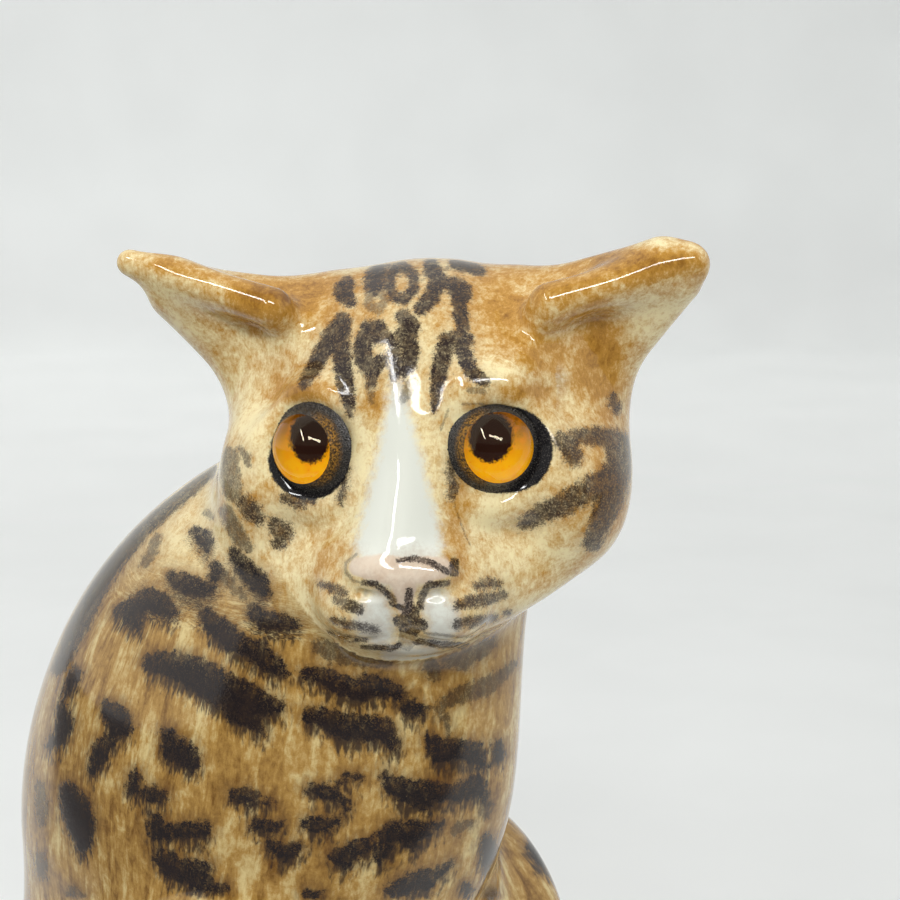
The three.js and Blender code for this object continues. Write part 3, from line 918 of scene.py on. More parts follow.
def eye_bed_paint():
    """Black grainy cement round the glass; toward the nose, next to the glass, a painted reflection of the
    amber, olive with painted gold glints.
    """
    material, nodes, shader, place = new_material("eye_bed")
    grain = nodes.noise(place, "cement")
    black = nodes.mix(nodes.band(grain, "bed_grey"), "bed_black", "bed_grey")
    # Painted reflection: the amber seen through the glass's edge, olive flecked with painted gold glints
    reflected_amber = nodes.mix(nodes.band(nodes.noise(place, "bed_gold"), "bed_gold"), "bed_amber_reflection", "bed_gold")
    inner = nodes.band(nodes.attribute("outward"), "bed_inner")
    where = nodes.times(nodes.band(nodes.attribute("toward_nose"), "toward_nose"), inner)
    nodes.feed(shader, {"Base Color": nodes.mix(where, black, reflected_amber)})
    nodes.feed(shader, {"Roughness": nodes.band(grain, "cement_sheen")})
    nodes.feed(shader, {"Normal": nodes.bump(nodes.times(grain, CEMENT_HIGH))})
    return material


def backdrop_paint():
    """Pale paper with painted light: it glows a little far off and toward the left; the floor before its edge
    is dark.
    """
    material, nodes, shader, place = new_material("backdrop_paper")
    x, y, _ = nodes.split(place)
    paper = nodes.mix(nodes.band(nodes.noise(place, "paper"), "paper"), "paper", "paper_pale")
    slant = nodes.math("MINIMUM", nodes.plus(x, PAPER_CORNER), 0.0)
    front = nodes.band(nodes.times_plus(slant, PAPER_SLANT, y), "paper_edge")
    colour = nodes.mix(front, "floor_dark", paper)
    # Painted light: the paper glows more far off and toward the left
    painted_paper_light = nodes.times(nodes.plus(nodes.band(y, "far_glow"), nodes.band(x, "left_glow")), front)
    nodes.feed(shader, {"Base Color": colour, "Emission Color": colour, "Emission Strength": painted_paper_light})
    nodes.feed(shader, {"Roughness": PAPER_ROUGH})
    return material


# Brush strokes where the camera sees them: pixels across and down, and half the brush's width there
FOREHEAD = {
    "comma": [(347, 284, 7), (343, 292, 9), (350, 301, 5)],
    "left_fork_outer": [(342, 319, 6), (331, 336, 8), (321, 355, 7.5), (311, 372, 6), (303, 384, 4)],
    "left_fork_inner": [
        (345, 322, 6), (340, 340, 8), (342, 362, 8), (346, 385, 8), (349, 402, 5), (350, 414, 2),
    ],
    "crown_bar": [(380, 266, 7), (376, 277, 10), (374, 287, 9)],
    "crown_ring": [
        (402, 266, 4.5), (413, 274, 4.5), (414, 288, 4.5), (405, 299, 4.5),
        (393, 296, 4), (389, 283, 4), (393, 270, 4), (402, 266, 4.5),
    ],
    "crown_hook": [(431, 266, 7), (438, 280, 8), (432, 296, 7.5), (421, 308, 6)],
    "crown_edge": [(456, 263, 6), (470, 266, 6), (481, 271, 4)],
    "right_blob": [(454, 285, 8), (461, 292, 10), (459, 302, 7)],
    "right_blob_stem": [(460, 306, 6), (461, 317, 6.5), (463, 327, 5)],
    "scroll_top_left": [(368, 327, 6), (379, 327, 6)],
    "scroll_left": [(365, 338, 8), (362, 350, 8), (364, 362, 8), (370, 371, 5)],
    "scroll_top": [(374, 338, 5), (385, 336, 5), (394, 342, 5)],
    "scroll_top_right": [(404, 317, 7), (410, 326, 9), (402, 334, 6)],
    "scroll_right": [(408, 338, 8), (411, 350, 8), (408, 364, 8), (404, 374, 4)],
    "scroll_inner": [(394, 354, 6), (398, 366, 8), (395, 376, 4)],
    "scroll_middle": [(379, 361, 6), (381, 361, 6)],
    "scroll_tail": [(374, 372, 5), (371, 383, 4)],
    "right_fork_top": [(445, 338, 5), (456, 336, 5.5), (468, 340, 5)],
    "right_fork_inner": [(446, 343, 7), (442, 360, 7.5), (438, 380, 6.5), (436, 396, 4), (434, 410, 2)],
    "right_fork_outer": [(461, 344, 7), (466, 360, 7), (473, 374, 6), (485, 381, 4)],
}
FOREHEAD_FAINT = {
    "crown_loops": [(370, 294, 5), (368, 304, 5), (378, 310, 5), (385, 300, 4), (380, 292, 4)],
    "brow_touch": [(412, 383, 6), (407, 392, 6), (402, 400, 4)],
    "brow_dab": [(370, 390, 4), (372, 402, 3)],
    "right_fork_end": [(469, 390, 3), (483, 391, 3)],
}
CHEEKS = {
    "temple_spot": [(613, 398, 4), (615, 405, 5.5), (617, 412, 3)],
    "eye_corner": [(560, 440, 7), (570, 448, 10), (574, 458, 8)],
    "cheek_bar": [(572, 438, 7), (592, 436, 8), (612, 438, 9), (627, 444, 9)],
    "cheek_edge": [(618, 446, 13), (622, 462, 14), (615, 478, 13)],
    "cheek_sweep": [(612, 474, 12), (590, 490, 12), (565, 503, 11), (540, 515, 9), (524, 524, 6)],
    "cheek_fall": [(620, 470, 13), (612, 495, 13), (602, 520, 11), (592, 542, 9)],
    "left_cheek_blob": [(244, 502, 7), (252, 512, 9), (259, 519, 6)],
    "left_cheek_spot": [(275, 525, 7), (282, 533, 11), (280, 541, 8)],
    "left_eye_tail": [(345, 470, 4), (344, 485, 4), (341, 500, 3)],
    "right_eye_tail": [(454, 458, 3), (451, 472, 4), (454, 486, 5), (451, 497, 3)],
    "left_rim_blob": [(285, 497, 5), (300, 503, 6), (312, 500, 4)],
}
CHEEKS_FAINT = {
    "left_cheek_band": [(230, 455, 7), (230, 475, 9), (233, 492, 8)],
    "left_cheek_edge": [(226, 512, 6), (235, 530, 7), (247, 548, 5)],
    "left_lid_hook": [(240, 449, 2), (246, 456, 3), (248, 464, 2)],
}
WHISKERS = {
    "left_first": [(320, 584, 3), (332, 588, 5), (343, 594, 4)],
    "left_second": [(336, 600, 4), (348, 605, 6), (360, 610, 4)],
    "left_third": [(333, 620, 3), (350, 625, 4), (376, 630, 3.5)],
    "left_fourth": [(330, 632, 1.5), (345, 638, 2.2), (365, 641, 1.5)],
    "right_first": [(476, 586, 3.5), (488, 583, 5), (498, 584, 4)],
    "right_second": [(458, 606, 4), (468, 602, 6), (484, 600, 6.5), (503, 595, 4)],
    "right_third": [(458, 624, 5), (475, 621, 5), (494, 618, 4)],
    "right_dot": [(506, 613, 3), (509, 613, 3)],
}
MOUTH = {
    "lip_cleft": [(411, 613, 8), (410, 625, 11), (409, 633, 8)],
    "lip_cleft_arms": [(399, 621, 5), (410, 622, 7), (422, 625, 5)],
    "mouth_line": [
        (362, 647, 1.5), (392, 648, 2.5), (405, 643, 3), (420, 641, 2.5), (440, 645, 3), (469, 645, 2),
    ],
    "nose_left_under": [(363, 583, 2), (376, 584, 2.5), (385, 591, 2.5), (394, 600, 2.5)],
    "nose_right_under": [(447, 583, 2.5), (429, 585, 3), (423, 594, 3), (420, 607, 3)],
    "nose_right_top": [(398, 561, 1.5), (414, 558, 2.5), (432, 563, 2.5), (447, 572, 2.5)],
    "nose_right_wing": [(454, 562, 4), (454, 572, 4)],
    "nose_middle": [(409, 591, 3), (409, 606, 3.5)],
    "nose_foot": [(390, 603, 1.5), (403, 608, 2)],
}
MOUTH_FAINT = {
    "lip_cleft_tail": [(408, 636, 9), (407, 641, 9)],
    "lip_crease": [(424, 633, 1.2), (462, 637, 1.6), (487, 636, 1)],
    "nose_left_wing": [
        (357, 554, 1.5), (346, 563, 1.6), (346, 572, 1.6), (354, 581, 1.6), (367, 584, 1.6),
    ],
    "lid_crease": [(463, 404, 1.2), (485, 404, 1.2)],
    "lid_crease_inner": [(448, 410, 1.2), (441, 429, 1.2)],
    "eye_tail_line": [(452, 498, 1.2), (458, 516, 1.0), (470, 545, 0.8)],
}
BODY_MARKS = {
    "neck_spot": [(195, 532, 6), (205, 538, 9), (208, 548, 5)],
    "shoulder_bar": [(172, 577, 7), (185, 583, 11), (198, 588, 10), (210, 590, 7)],
    "shoulder_hook": [(214, 566, 6), (221, 573, 7), (212, 578, 5)],
    "under_jaw": [(234, 552, 6), (245, 568, 10), (258, 580, 11), (266, 592, 6)],
    "wing_bar": [(118, 612, 6), (133, 608, 10), (148, 598, 11), (163, 604, 11), (172, 611, 7)],
    "wing_bar_drop": [(128, 620, 6), (138, 625, 6)],
    "collar_left": [(205, 614, 7), (215, 625, 11), (230, 632, 10)],
    "collar_right": [(252, 610, 7), (265, 620, 10), (282, 622, 9), (296, 624, 5)],
    "collar_low": [(225, 640, 9), (245, 645, 11), (262, 655, 11), (275, 667, 9), (284, 672, 5)],
    "great_bar": [
        (150, 662, 9), (168, 664, 13), (190, 670, 16), (215, 685, 18), (240, 696, 18), (262, 704, 14),
        (277, 706, 8),
    ],
    "great_bar_drop": [(235, 714, 9), (255, 722, 8), (264, 734, 3)],
    "side_dab": [(76, 672, 6), (72, 682, 7), (65, 692, 4)],
    "side_blob": [(62, 708, 6), (65, 722, 9), (60, 738, 7), (50, 745, 5)],
    "side_pair_upper": [(108, 706, 7), (116, 716, 13), (124, 728, 9)],
    "side_pair_lower": [(112, 738, 7), (103, 748, 10), (96, 760, 8), (92, 772, 4)],
    "flank_blob": [(168, 734, 8), (173, 748, 13), (183, 752, 13), (193, 762, 9)],
    "side_oval": [(68, 790, 9), (75, 805, 15), (82, 825, 14), (83, 842, 9)],
    "flank_arch": [(135, 776, 7), (132, 788, 6), (140, 792, 6), (152, 793, 8), (163, 797, 6)],
    "flank_low_left": [(155, 820, 8), (158, 830, 11)],
    "flank_low_right": [(165, 832, 8), (185, 830, 9), (203, 830, 9)],
    "flank_foot": [(162, 858, 9), (175, 868, 12), (190, 872, 13), (203, 868, 9)],
    "flank_foot_end": [(198, 884, 8), (210, 886, 8), (224, 888, 5)],
    "middle_spot": [(233, 795, 6), (247, 796, 9), (262, 800, 5), (272, 804, 3)],
    "middle_low": [(256, 824, 7), (270, 826, 6), (281, 824, 5)],
    "middle_foot": [(272, 846, 7), (285, 852, 9), (303, 846, 4)],
    "breast_first": [
        (306, 674, 7), (322, 675, 9), (340, 684, 10), (358, 690, 12), (372, 686, 12), (390, 688, 8),
        (404, 693, 5),
    ],
    "breast_bar": [
        (310, 716, 8), (325, 717, 10), (345, 727, 13), (365, 728, 13), (383, 730, 12), (395, 745, 6),
    ],
    "breast_dab": [(402, 703, 6), (413, 708, 10), (423, 711, 6)],
    "breast_right": [(432, 740, 8), (440, 750, 12), (458, 750, 11), (475, 752, 11), (483, 765, 6)],
    "breast_right_dab": [(498, 745, 6), (498, 754, 7)],
    "belt": [
        (385, 776, 6), (394, 785, 10), (408, 792, 13), (428, 792, 12), (446, 792, 9), (458, 793, 9),
        (475, 785, 11), (484, 795, 6),
    ],
    "belt_drop": [(424, 804, 6), (427, 806, 6)],
    "hook_top": [(340, 783, 4), (348, 776, 4), (360, 777, 4)],
    "hook_left": [(312, 789, 7), (325, 792, 9), (338, 796, 6)],
    "hook_tail": [(346, 800, 5), (346, 808, 4)],
    "hook_foot": [(308, 825, 7), (320, 824, 8), (338, 822, 4)],
    "low_left": [(336, 855, 8), (344, 862, 8), (352, 848, 8), (366, 846, 9)],
    "low_arch": [(380, 838, 6), (395, 831, 11), (412, 832, 11), (430, 827, 7), (442, 824, 4)],
    "low_arch_left": [(385, 848, 8), (380, 858, 6)],
    "low_arch_middle": [(410, 842, 8), (414, 846, 6)],
    "low_right": [(488, 840, 7), (489, 852, 9), (485, 862, 6)],
    "foot_bar": [(395, 890, 9), (410, 883, 11), (428, 878, 10)],
    "foot_sweep": [(440, 871, 5), (452, 862, 4)],
    "foot_dab": [(466, 887, 6), (468, 890, 6)],
    "foot_right": [(490, 893, 7), (492, 898, 6)],
    "foot_left": [(308, 896, 7), (318, 897, 7)],
    "haunch_edge": [(521, 805, 7), (530, 814, 5)],
    "haunch_oval": [(535, 847, 9), (545, 855, 11), (556, 865, 6)],
}
BODY_FAINT = {
    "neck_fleck": [(207, 513, 4), (213, 518, 3)],
    "neck_streak": [(157, 538, 5), (152, 552, 6), (143, 565, 4)],
    "shoulder_trail": [(222, 574, 6), (235, 588, 5), (245, 598, 4)],
    # Painted shadow under the chin, where it overhangs the chest
    "chin_shadow_left": [(320, 648, 8), (340, 652, 12), (360, 656, 10), (385, 662, 7)],
    "chin_shadow_middle": [(431, 664, 8), (434, 672, 8)],
    "chin_shadow_right": [(450, 660, 7), (465, 660, 10), (480, 650, 9), (492, 642, 6)],
    "throat_curve": [
        (438, 710, 5), (448, 701, 7), (465, 694, 9), (485, 688, 9), (500, 676, 6), (514, 664, 4),
    ],
    "throat_drop": [(444, 715, 5), (448, 730, 4)],
    "low_ring": [(455, 832, 6), (462, 825, 5), (472, 824, 4)],
    "low_fleck": [(488, 806, 6), (486, 815, 5)],
    "edge_first": [(40, 785, 5), (42, 805, 6.5), (42, 822, 5)],
    "edge_second": [(40, 858, 6), (42, 875, 6)],
    "edge_third": [(72, 893, 7), (80, 897, 5)],
}
SPINE_EDGE = {
    "spine": [
        (214, 468, 6), (190, 490, 7), (165, 510, 8), (140, 532, 9), (115, 562, 9),
        (95, 592, 10), (82, 618, 11), (70, 645, 9), (58, 668, 7),
    ],
}
WHITE = {
    "blaze": [
        (396, 382, 4), (398, 400, 10), (398, 430, 16), (399, 460, 23), (399, 490, 30), (399, 520, 38),
        (399, 545, 44),
    ],
    "left_pad": [(376, 606, 14), (374, 622, 20), (380, 634, 14)],
    "right_pad": [(436, 604, 14), (444, 620, 18), (440, 634, 12)],
    "chin": [(392, 654, 9), (430, 654, 9)],
}
PINK = {
    "nose_lobes": [(359, 567, 10), (380, 568, 14), (400, 572, 15), (420, 570, 14), (441, 568, 11)],
    "nose_stalk": [(404, 585, 13), (405, 598, 9), (405, 608, 7)],
}
EYE_RIMS = {
    "left": [(309, 452, 39), (309, 459, 41)],
    "right": [(500, 450, 43), (510, 450, 43)],
}
# Where the sponge laid more of the ochre: pixels, reach across and down, and how much
OCHRE_DABS = [
    (262, 300, 46, 24, 0.8), (320, 300, 46, 34, 0.55), (300, 392, 34, 12, 0.7), (376, 404, 18, 14, 0.4),
    (500, 300, 46, 36, 0.45), (575, 285, 60, 22, 0.4), (645, 262, 62, 17, 1.0), (545, 350, 46, 40, 0.5),
    (520, 392, 36, 9, 0.5), (602, 380, 26, 60, 0.6), (180, 268, 56, 14, 0.6), (330, 560, 22, 44, 0.3),
    (430, 300, 60, 40, 0.2), (270, 360, 40, 30, 0.2), (600, 500, 40, 50, 0.4),
    (458, 520, 14, 60, 0.5), (262, 495, 26, 14, 0.4), (475, 560, 20, 24, 0.2), (215, 400, 16, 50, 0.1),
]

# Strokes on the back of the head, in its own frame: across, back and up, and half the brush's width there
NAPE_STROKES = (
    [(-9, 26, 36, 2.6), (-10, 42, 33, 3.2), (-11, 56, 22, 3.4), (-10, 64, 6, 3.2), (-8, 68, -8, 2.6)],
    [(1, 30, 37, 2.6), (1, 46, 33, 3.4), (1, 60, 22, 3.8), (1, 68, 6, 3.6), (1, 70, -10, 3.2)],
    [(12, 26, 36, 2.6), (13, 42, 32, 3.2), (13, 56, 21, 3.4), (12, 64, 6, 3.2), (10, 68, -8, 2.6)],
    [(-24, 44, 24, 3.0), (-27, 54, 10, 3.6), (-25, 60, -6, 3.0)],
    [(26, 44, 24, 3.0), (28, 54, 10, 3.6), (26, 60, -6, 3.0)],
    [(-38, 30, -2, 2.6), (-40, 36, -14, 3.2), (-35, 40, -26, 2.6)],
)

# How each set of strokes is laid: on the head or not, then more depth, and for the shader the ink's
# strength, how slate it is and how loose its edge is
LAID = (
    (FOREHEAD, True, 0.3, (1.0, 0.15, 1.0)), (CHEEKS, True, 0.2, (0.94, 0.2, 1.6)),
    (FOREHEAD_FAINT, True, 0.0, (0.62, 0.3, 0.8)), (CHEEKS_FAINT, True, 0.3, (0.75, 0.7, 1.0)),
    (WHISKERS, True, 0.1, (0.92, 0.2, 1.15)), (MOUTH, True, 0.15, (0.96, 0.3, 0.5)),
    (MOUTH_FAINT, True, 0.0, (0.55, 0.3, 0.4)), (BODY_MARKS, False, 0.0, (1.0, 0.55, 1.0)),
    (BODY_FAINT, False, 0.0, (0.7, 0.65, 1.0)), (SPINE_EDGE, False, 0.0, (0.9, 1.0, 1.0)),
)
HIDDEN_HAND = (0.97, 0.6, 1.0)
TRAIL_SHIFTS = (8.0, 17.0)
FOREHEAD_TRAIL = 3.0
TRAIL_THINNER = 0.8

# Where paint ends: pixels looked at round a stroke, the fade where the camera stops seeing, the head's edge
STROKE_NEAR = 60
OUTSIDE = -1e3
NEVER = -40.0
EDGE_FADE = 10.0
SEEN_FACING = (0.0, 0.14)
SEEN_BELOW = (PICTURE - 4, PICTURE + 16)
SEEN_ENOUGH = 0.5
HEAD_ENDS = 1.5
OCHRE_UNSEEN = 0.35

# The coat's hairs run down from the neck round the body's middle; the body's coat begins below the head
COAT_AXIS_HEIGHTS = (0, 54, 145, 200, 230)
COAT_AXIS = (-10, -14, -2, 6, 12)
COAT_REACH = 46.0
COAT_FROM = (18, 40)
COAT_NAPE_BACK = 20
COAT_NAPE_SHARE = 0.35

# Marks that the camera doesn't see: blobs strewn over the body, bars on the forelegs, rings on the tail
SEED = 11
SPOT_GAP = 20.5
SPOT_LONG = (3.6, 8.5)
SPOT_SHORT = (2.2, 4.6)
SPOT_DEEP = 7.0
SPOT_WITHIN = 28.0
SPOT_TILT = (-0.7, 0.3)
SPOT_BEND = 1.5
SPOT_WAVES = 0.3
SPOT_PHASE = 6
SPOT_DABS = 2
SPOT_SHIFT_ALONG = 5
SPOT_SHIFT_ACROSS = 2.5
SPOTS_ABOVE = 10
SPOTS_CLEAR_OF = -5
TAIL_RINGS = (0.14, 0.27, 0.40, 0.53, 0.66, 0.78, 0.88, 1.0)
TAIL_RING_HALF = 0.026
TAIL_LENGTH = 190.0
TAIL_UNDER = 30
TAIL_PAST_TIP = 1.15
TAIL_ASIDE = 0.26
FORELEG_BARS = ((92, 5), (76, 4), (61, 4), (47, 3.5), (34, 3), (23, 2.5))
FORELEG_FROM = 34
FORELEG_HALF = 29
FORELEG_TOP = 98
BAR_WAVE = (2.5, 0.35)

# Half width of the dark back at heights, on the cat's right; on its left it is narrower
SPINE_HEIGHTS = (0, 140, 158, 172, 190, 205, 221, 245)
SPINE_HALF = (6, 7, 12, 23, 21, 17, 13, 11)
SPINE_WAVES = ((1.4, 0.4), (1.0, 0.93))
SPINE_LEFT = 0.45
SPINE_LEFT_MORE = 2
SPINE_LOOKS = (-1.0, 0, 0.25)
SPINE_FACING = (-0.1, 0.25)
SPINE_ENDS = 20
SPINE_BEHIND = 20


def stroke_depth(x, y, stroke):
    """How far inside a brush stroke pixels lie; negative outside."""
    best = np.full(x.shape, OUTSIDE)
    for (x0, y0, w0), (x1, y1, w1) in zip(stroke, stroke[1:]):
        dx, dy = x1 - x0, y1 - y0
        t = np.clip(((x - x0) * dx + (y - y0) * dy) / (dx * dx + dy * dy), 0, 1)
        depth = w0 + (w1 - w0) * t - np.hypot(x - x0 - t * dx, y - y0 - t * dy)
        best = np.maximum(best, depth)
    return best


def near_stroke(values, ends):
    """Which pixels, read one way, are close enough for a stroke to reach them."""
    return (values > min(ends) - STROKE_NEAR) & (values < max(ends) + STROKE_NEAR)


def lay(strokes, x, y, scale, shift=0.0):
    """Depth in millimetres inside any of the strokes."""
    best = np.full(x.shape, NEVER)
    for stroke in strokes.values():
        near = near_stroke(x, [s[0] for s in stroke]) & near_stroke(y, [s[1] for s in stroke])
        best[near] = np.maximum(best[near], stroke_depth(x[near], y[near] - shift, stroke) * scale[near])
    return best


def rise(value, low, high):
    """0 below low, 1 above high, smooth between."""
    t = np.clip((value - low) / (high - low), 0, 1)
    return t * t * (3 - 2 * t)


def solid_stroke_depth(q, stroke):
    """How far inside a stroke given by places and reaches in the head's frame points lie."""
    best = np.full(q.shape[1], NEVER)
    for (*a, ra), (*b, rb) in zip(stroke, stroke[1:]):
        a, along = np.array(a, float), np.array(b, float) - np.array(a, float)
        d = q - a[:, None]
        t = np.clip((along @ d) / (along @ along), 0, 1)
        near = np.linalg.norm(d - along[:, None] * t, axis=0)
        best = np.maximum(best, ra + (rb - ra) * t - near)
    return best


def marked(marks, where, depth):
    """The marks with one more laid on them at places."""
    return np.where(where, np.maximum(marks, depth), marks)


def spine_depth(p, q, normal):
    """Depth inside the dark line down the back, which is uneven and wider on the cat's right."""
    back = (normal * (BODY[1] @ np.array(SPINE_LOOKS))[:, None]).sum(0)
    half = np.interp(p[2], SPINE_HEIGHTS, SPINE_HALF)
    for high, often in SPINE_WAVES:
        half = half + high * np.sin(p[2] * often)
    half = np.where(q[1] > 0, half * SPINE_LEFT + SPINE_LEFT_MORE, half)
    return half - np.abs(q[1]) - SPINE_ENDS * (1 - rise(back, *SPINE_FACING))


def strew_spots(marks, p, normal, open_to):
    """The marks with uneven blobs strewn over the open places, no two of them close together."""
    rng = np.random.default_rng(SEED)
    open_to = rng.permutation(np.flatnonzero(open_to))
    chosen = []
    while len(open_to):
        chosen.append(open_to[0])
        far = np.linalg.norm(p[:, open_to] - p[:, open_to[:1]], axis=0) > SPOT_GAP
        open_to = open_to[far]
    for i in chosen:
        n = normal[:, i]
        level = np.cross(n, [0, 0, 1.0])
        level /= max(np.linalg.norm(level), TINY)
        tilt = rng.uniform(*SPOT_TILT)
        along = level * math.cos(tilt) + np.cross(level, n) * math.sin(tilt)
        across = np.cross(n, along)
        d = p - p[:, i : i + 1]
        near = (np.abs(d) < SPOT_WITHIN).all(0)
        phase = rng.uniform(0, SPOT_PHASE, (3, 1))
        e = d[:, near] + SPOT_BEND * np.sin(d[[1, 2, 0]][:, near] * SPOT_WAVES + phase)
        for _ in range(SPOT_DABS):
            long, short = rng.uniform(*SPOT_LONG), rng.uniform(*SPOT_SHORT)
            a = along @ e - rng.uniform(-SPOT_SHIFT_ALONG, SPOT_SHIFT_ALONG)
            b = across @ e - rng.uniform(-SPOT_SHIFT_ACROSS, SPOT_SHIFT_ACROSS)
            form = np.sqrt((a / long) ** 2 + (b / short) ** 2 + (n @ e / SPOT_DEEP) ** 2)
            marks[near] = np.maximum(marks[near], (1 - form) * short)
    return marks


def hidden_marks(p, normal, seen, on_head):
    """Depth of the marks on the sides that the camera doesn't see, in keeping with the rest."""
    q, h = read_in(BODY, p), read_in(HEAD, p)
    x, y = (q[0] - TAIL_CENTRE[0]) / TAIL_REACH[0], (q[1] - TAIL_CENTRE[1]) / TAIL_REACH[1]
    share = ((np.degrees(np.arctan2(y, x)) - TAIL_START) % 360) / TAIL_SWEEP
    on_tail = (p[2] < TAIL_UNDER) & (share < TAIL_PAST_TIP) & (np.abs(np.hypot(x, y) - 1) < TAIL_ASIDE)
    marks = np.full(p.shape[1], NEVER)
    for stroke in NAPE_STROKES:
        marks = marked(marks, on_head, solid_stroke_depth(h, stroke))
    for at in TAIL_RINGS:
        marks = marked(marks, on_tail, (TAIL_RING_HALF - np.abs(share - at)) * TAIL_LENGTH)
    marks = marked(marks, ~on_head & ~on_tail & (q[0] < SPINE_BEHIND), spine_depth(p, q, normal))
    leg = (q[0] > FORELEG_FROM) & (np.abs(q[1]) < FORELEG_HALF) & (p[2] < FORELEG_TOP) & ~on_tail
    for height, half in FORELEG_BARS:
        wave = BAR_WAVE[0] * np.sin(q[1] * BAR_WAVE[1] + height)
        marks = marked(marks, leg, half - np.abs(p[2] + wave - height))
    bare = ~seen & ~on_head & ~on_tail & ~leg & (p[2] > SPOTS_ABOVE) & (marks < SPOTS_CLEAR_OF)
    return strew_spots(marks, p, normal, bare)


def paint(p, normal):
    """Every layer of paint at the vertices, as named values."""
    x, y, depth = in_picture(p)
    scale = depth * SENSOR / (LENS * PICTURE)
    to_camera = np.array(CAMERA_AT)[:, None] - p
    facing = (normal * to_camera).sum(0) / np.linalg.norm(to_camera, axis=0)
    h = read_in(HEAD, p)
    # The head's strokes stay on the head and the body's on the body
    on_head = where_near(h, ball(h, HEAD_MIDDLE, HEAD_REACH) < 0, skull) < HEAD_ENDS
    seen = rise(facing, *SEEN_FACING) * (1 - rise(y, *SEEN_BELOW))

    def brush(strokes, where, shift=0.0):
        laid = lay(strokes, x, y, scale, shift)
        return np.where(where, laid, NEVER) - EDGE_FADE * (1 - seen)

    depths = [brush(strokes, on_head == head_too) + more for strokes, head_too, more, _ in LAID]
    depths.append(hidden_marks(p, normal, seen > SEEN_ENOUGH, on_head) - EDGE_FADE * seen)
    hands = np.array([*(hand for *_, hand in LAID), HIDDEN_HAND])
    stack = np.stack(depths)
    layers = {"mark": stack.max(0)}
    layers |= {label: hands[:, i][stack.argmax(0)] for i, label in enumerate(HAND_VALUES)}
    near_trail, far_trail = (brush(BODY_MARKS, ~on_head, shift) for shift in TRAIL_SHIFTS)
    trail = np.maximum(near_trail, far_trail - TRAIL_THINNER)
    trail = np.maximum(trail, np.where(seen < SEEN_ENOUGH, layers["mark"] - TRAIL_THINNER, NEVER))
    layers["mark_trail"] = np.maximum(trail, brush(FOREHEAD, on_head, FOREHEAD_TRAIL) - TRAIL_THINNER)
    for label, strokes in (("white", WHITE), ("pink", PINK), ("rim", EYE_RIMS)):
        layers[label] = brush(strokes, on_head)
    ochre = np.zeros(len(x))
    for cx, cy, rx, ry, amount in OCHRE_DABS:
        ochre += amount * np.exp(-((x - cx) / rx) ** 2 - ((y - cy) / ry) ** 2) * seen * on_head
    layers["ochre"] = ochre + OCHRE_UNSEEN * (1 - seen) * on_head
    inside = read_in(BODY, p)
    axis = np.interp(p[2], COAT_AXIS_HEIGHTS, COAT_AXIS)
    layers["around"] = COAT_REACH * np.arctan2(inside[1], inside[0] - axis)
    below = -h[2] + COAT_NAPE_SHARE * np.maximum(h[1] - COAT_NAPE_BACK, 0)
    layers["on_body"] = rise(below, *COAT_FROM) * ~on_head
    return layers


# Eyes and their beds are turned about their axis: radius and height; steps round and along
TURNED_SEGMENTS = 128
DOME_STEPS = 40
DOME_ROUNDED = 0.97
IRIS_PROFILE = ((0, 0.0), (8.15, 0.0), (8.15, -0.6), (0, -0.6))

# The cement that beds each eye, from the glass out to the lid, then under it and up along the glass
BED_TOP = ((7.02, 4.66), (7.4, 3.9), (7.9, 2.9), (8.5, 1.95), (9.2, 1.2), (9.9, 0.6), (10.6, 0.0))
BED_UNDER = ((10.2, -1.2), (8.5, -1.2))
BED_STEPS = 3
BED_CLEAR = 0.03
BED_INSIDE_LOW = -1.1
BED_INSIDE_SHORT = 0.06
BED_INSIDE_STEPS = 14
GRAIN_SIZE = 0.24
GRAINS_APART = 0.42
GRAIN_UNEVEN = ((0.4, 0.4, 0.3), (1.2, 1.2, 0.9))
GRAIN_TURNS = ((0, 0, 0), (6.28, 6.28, 6.28))
GRAIN_SEED = 5
GRAINS_AT_MOST = 9.0e6

# The glaze's shading: calmer over the brow, and tilted no more than this down the bridge of the nose
BROW_CALM = (0, 8, 12)
BROW_CALM_REACH = (13, 20, 22)
BROW_CALM_SHARE = (0.03, 0.4)
CALM_STEP = 2.5
BRIDGE_TILT = (0.33, 0.24)
BRIDGE_TILT_ACROSS = (1.2, 3.5)
BRIDGE_HALF = (9, 15)
BRIDGE_UPPER = (5, 9)
BRIDGE_LOWER = (-18, -14)
BRIDGE_DEEP = 8

# The underside stays bare, and the hollows of the ears are paler
UNDERSIDE = 0.01
EAR_PALE_REACH = 2.5
EAR_PALE_FADE = (0, 3)
EAR_PALE_OUT = 30


def new_object(name, data):
    made = bpy.data.objects.new(name, data)
    bpy.context.scene.collection.objects.link(made)
    return made


def smooth_mesh(name, points, faces):
    """A smooth mesh from points in millimetres (n, 3)."""
    mesh = bpy.data.meshes.new(name)
    mesh.from_pydata((points * METRES).tolist(), [], faces)
    mesh.shade_smooth()
    return mesh


def set_values(mesh, name, values):
    """Keeps a value at each point of the mesh, for a material to read."""
    layer = mesh.attributes.new(name, "FLOAT", "POINT")
    layer.data.foreach_set("value", np.asarray(values, np.float32))


def cut_flat(mesh, height):
    """Cuts a mesh level and closes it with a flat face, so it stands."""
    work = bmesh.new()
    work.from_mesh(mesh)
    geometry = work.verts[:] + work.edges[:] + work.faces[:]
    plane = dict(plane_co=(0, 0, height), plane_no=(0, 0, 1))
    cut = bmesh.ops.bisect_plane(work, geom=geometry, **plane, clear_inner=True)
    rim = [e for e in cut["geom_cut"] if isinstance(e, bmesh.types.BMEdge)]
    bmesh.ops.triangle_fill(work, edges=rim, use_beauty=True)
    work.normal_update()
    for face in work.faces:
        if abs(face.calc_center_median().z - height) < TINY and face.normal.z > 0:
            face.normal_flip()
    work.to_mesh(mesh)
    work.free()


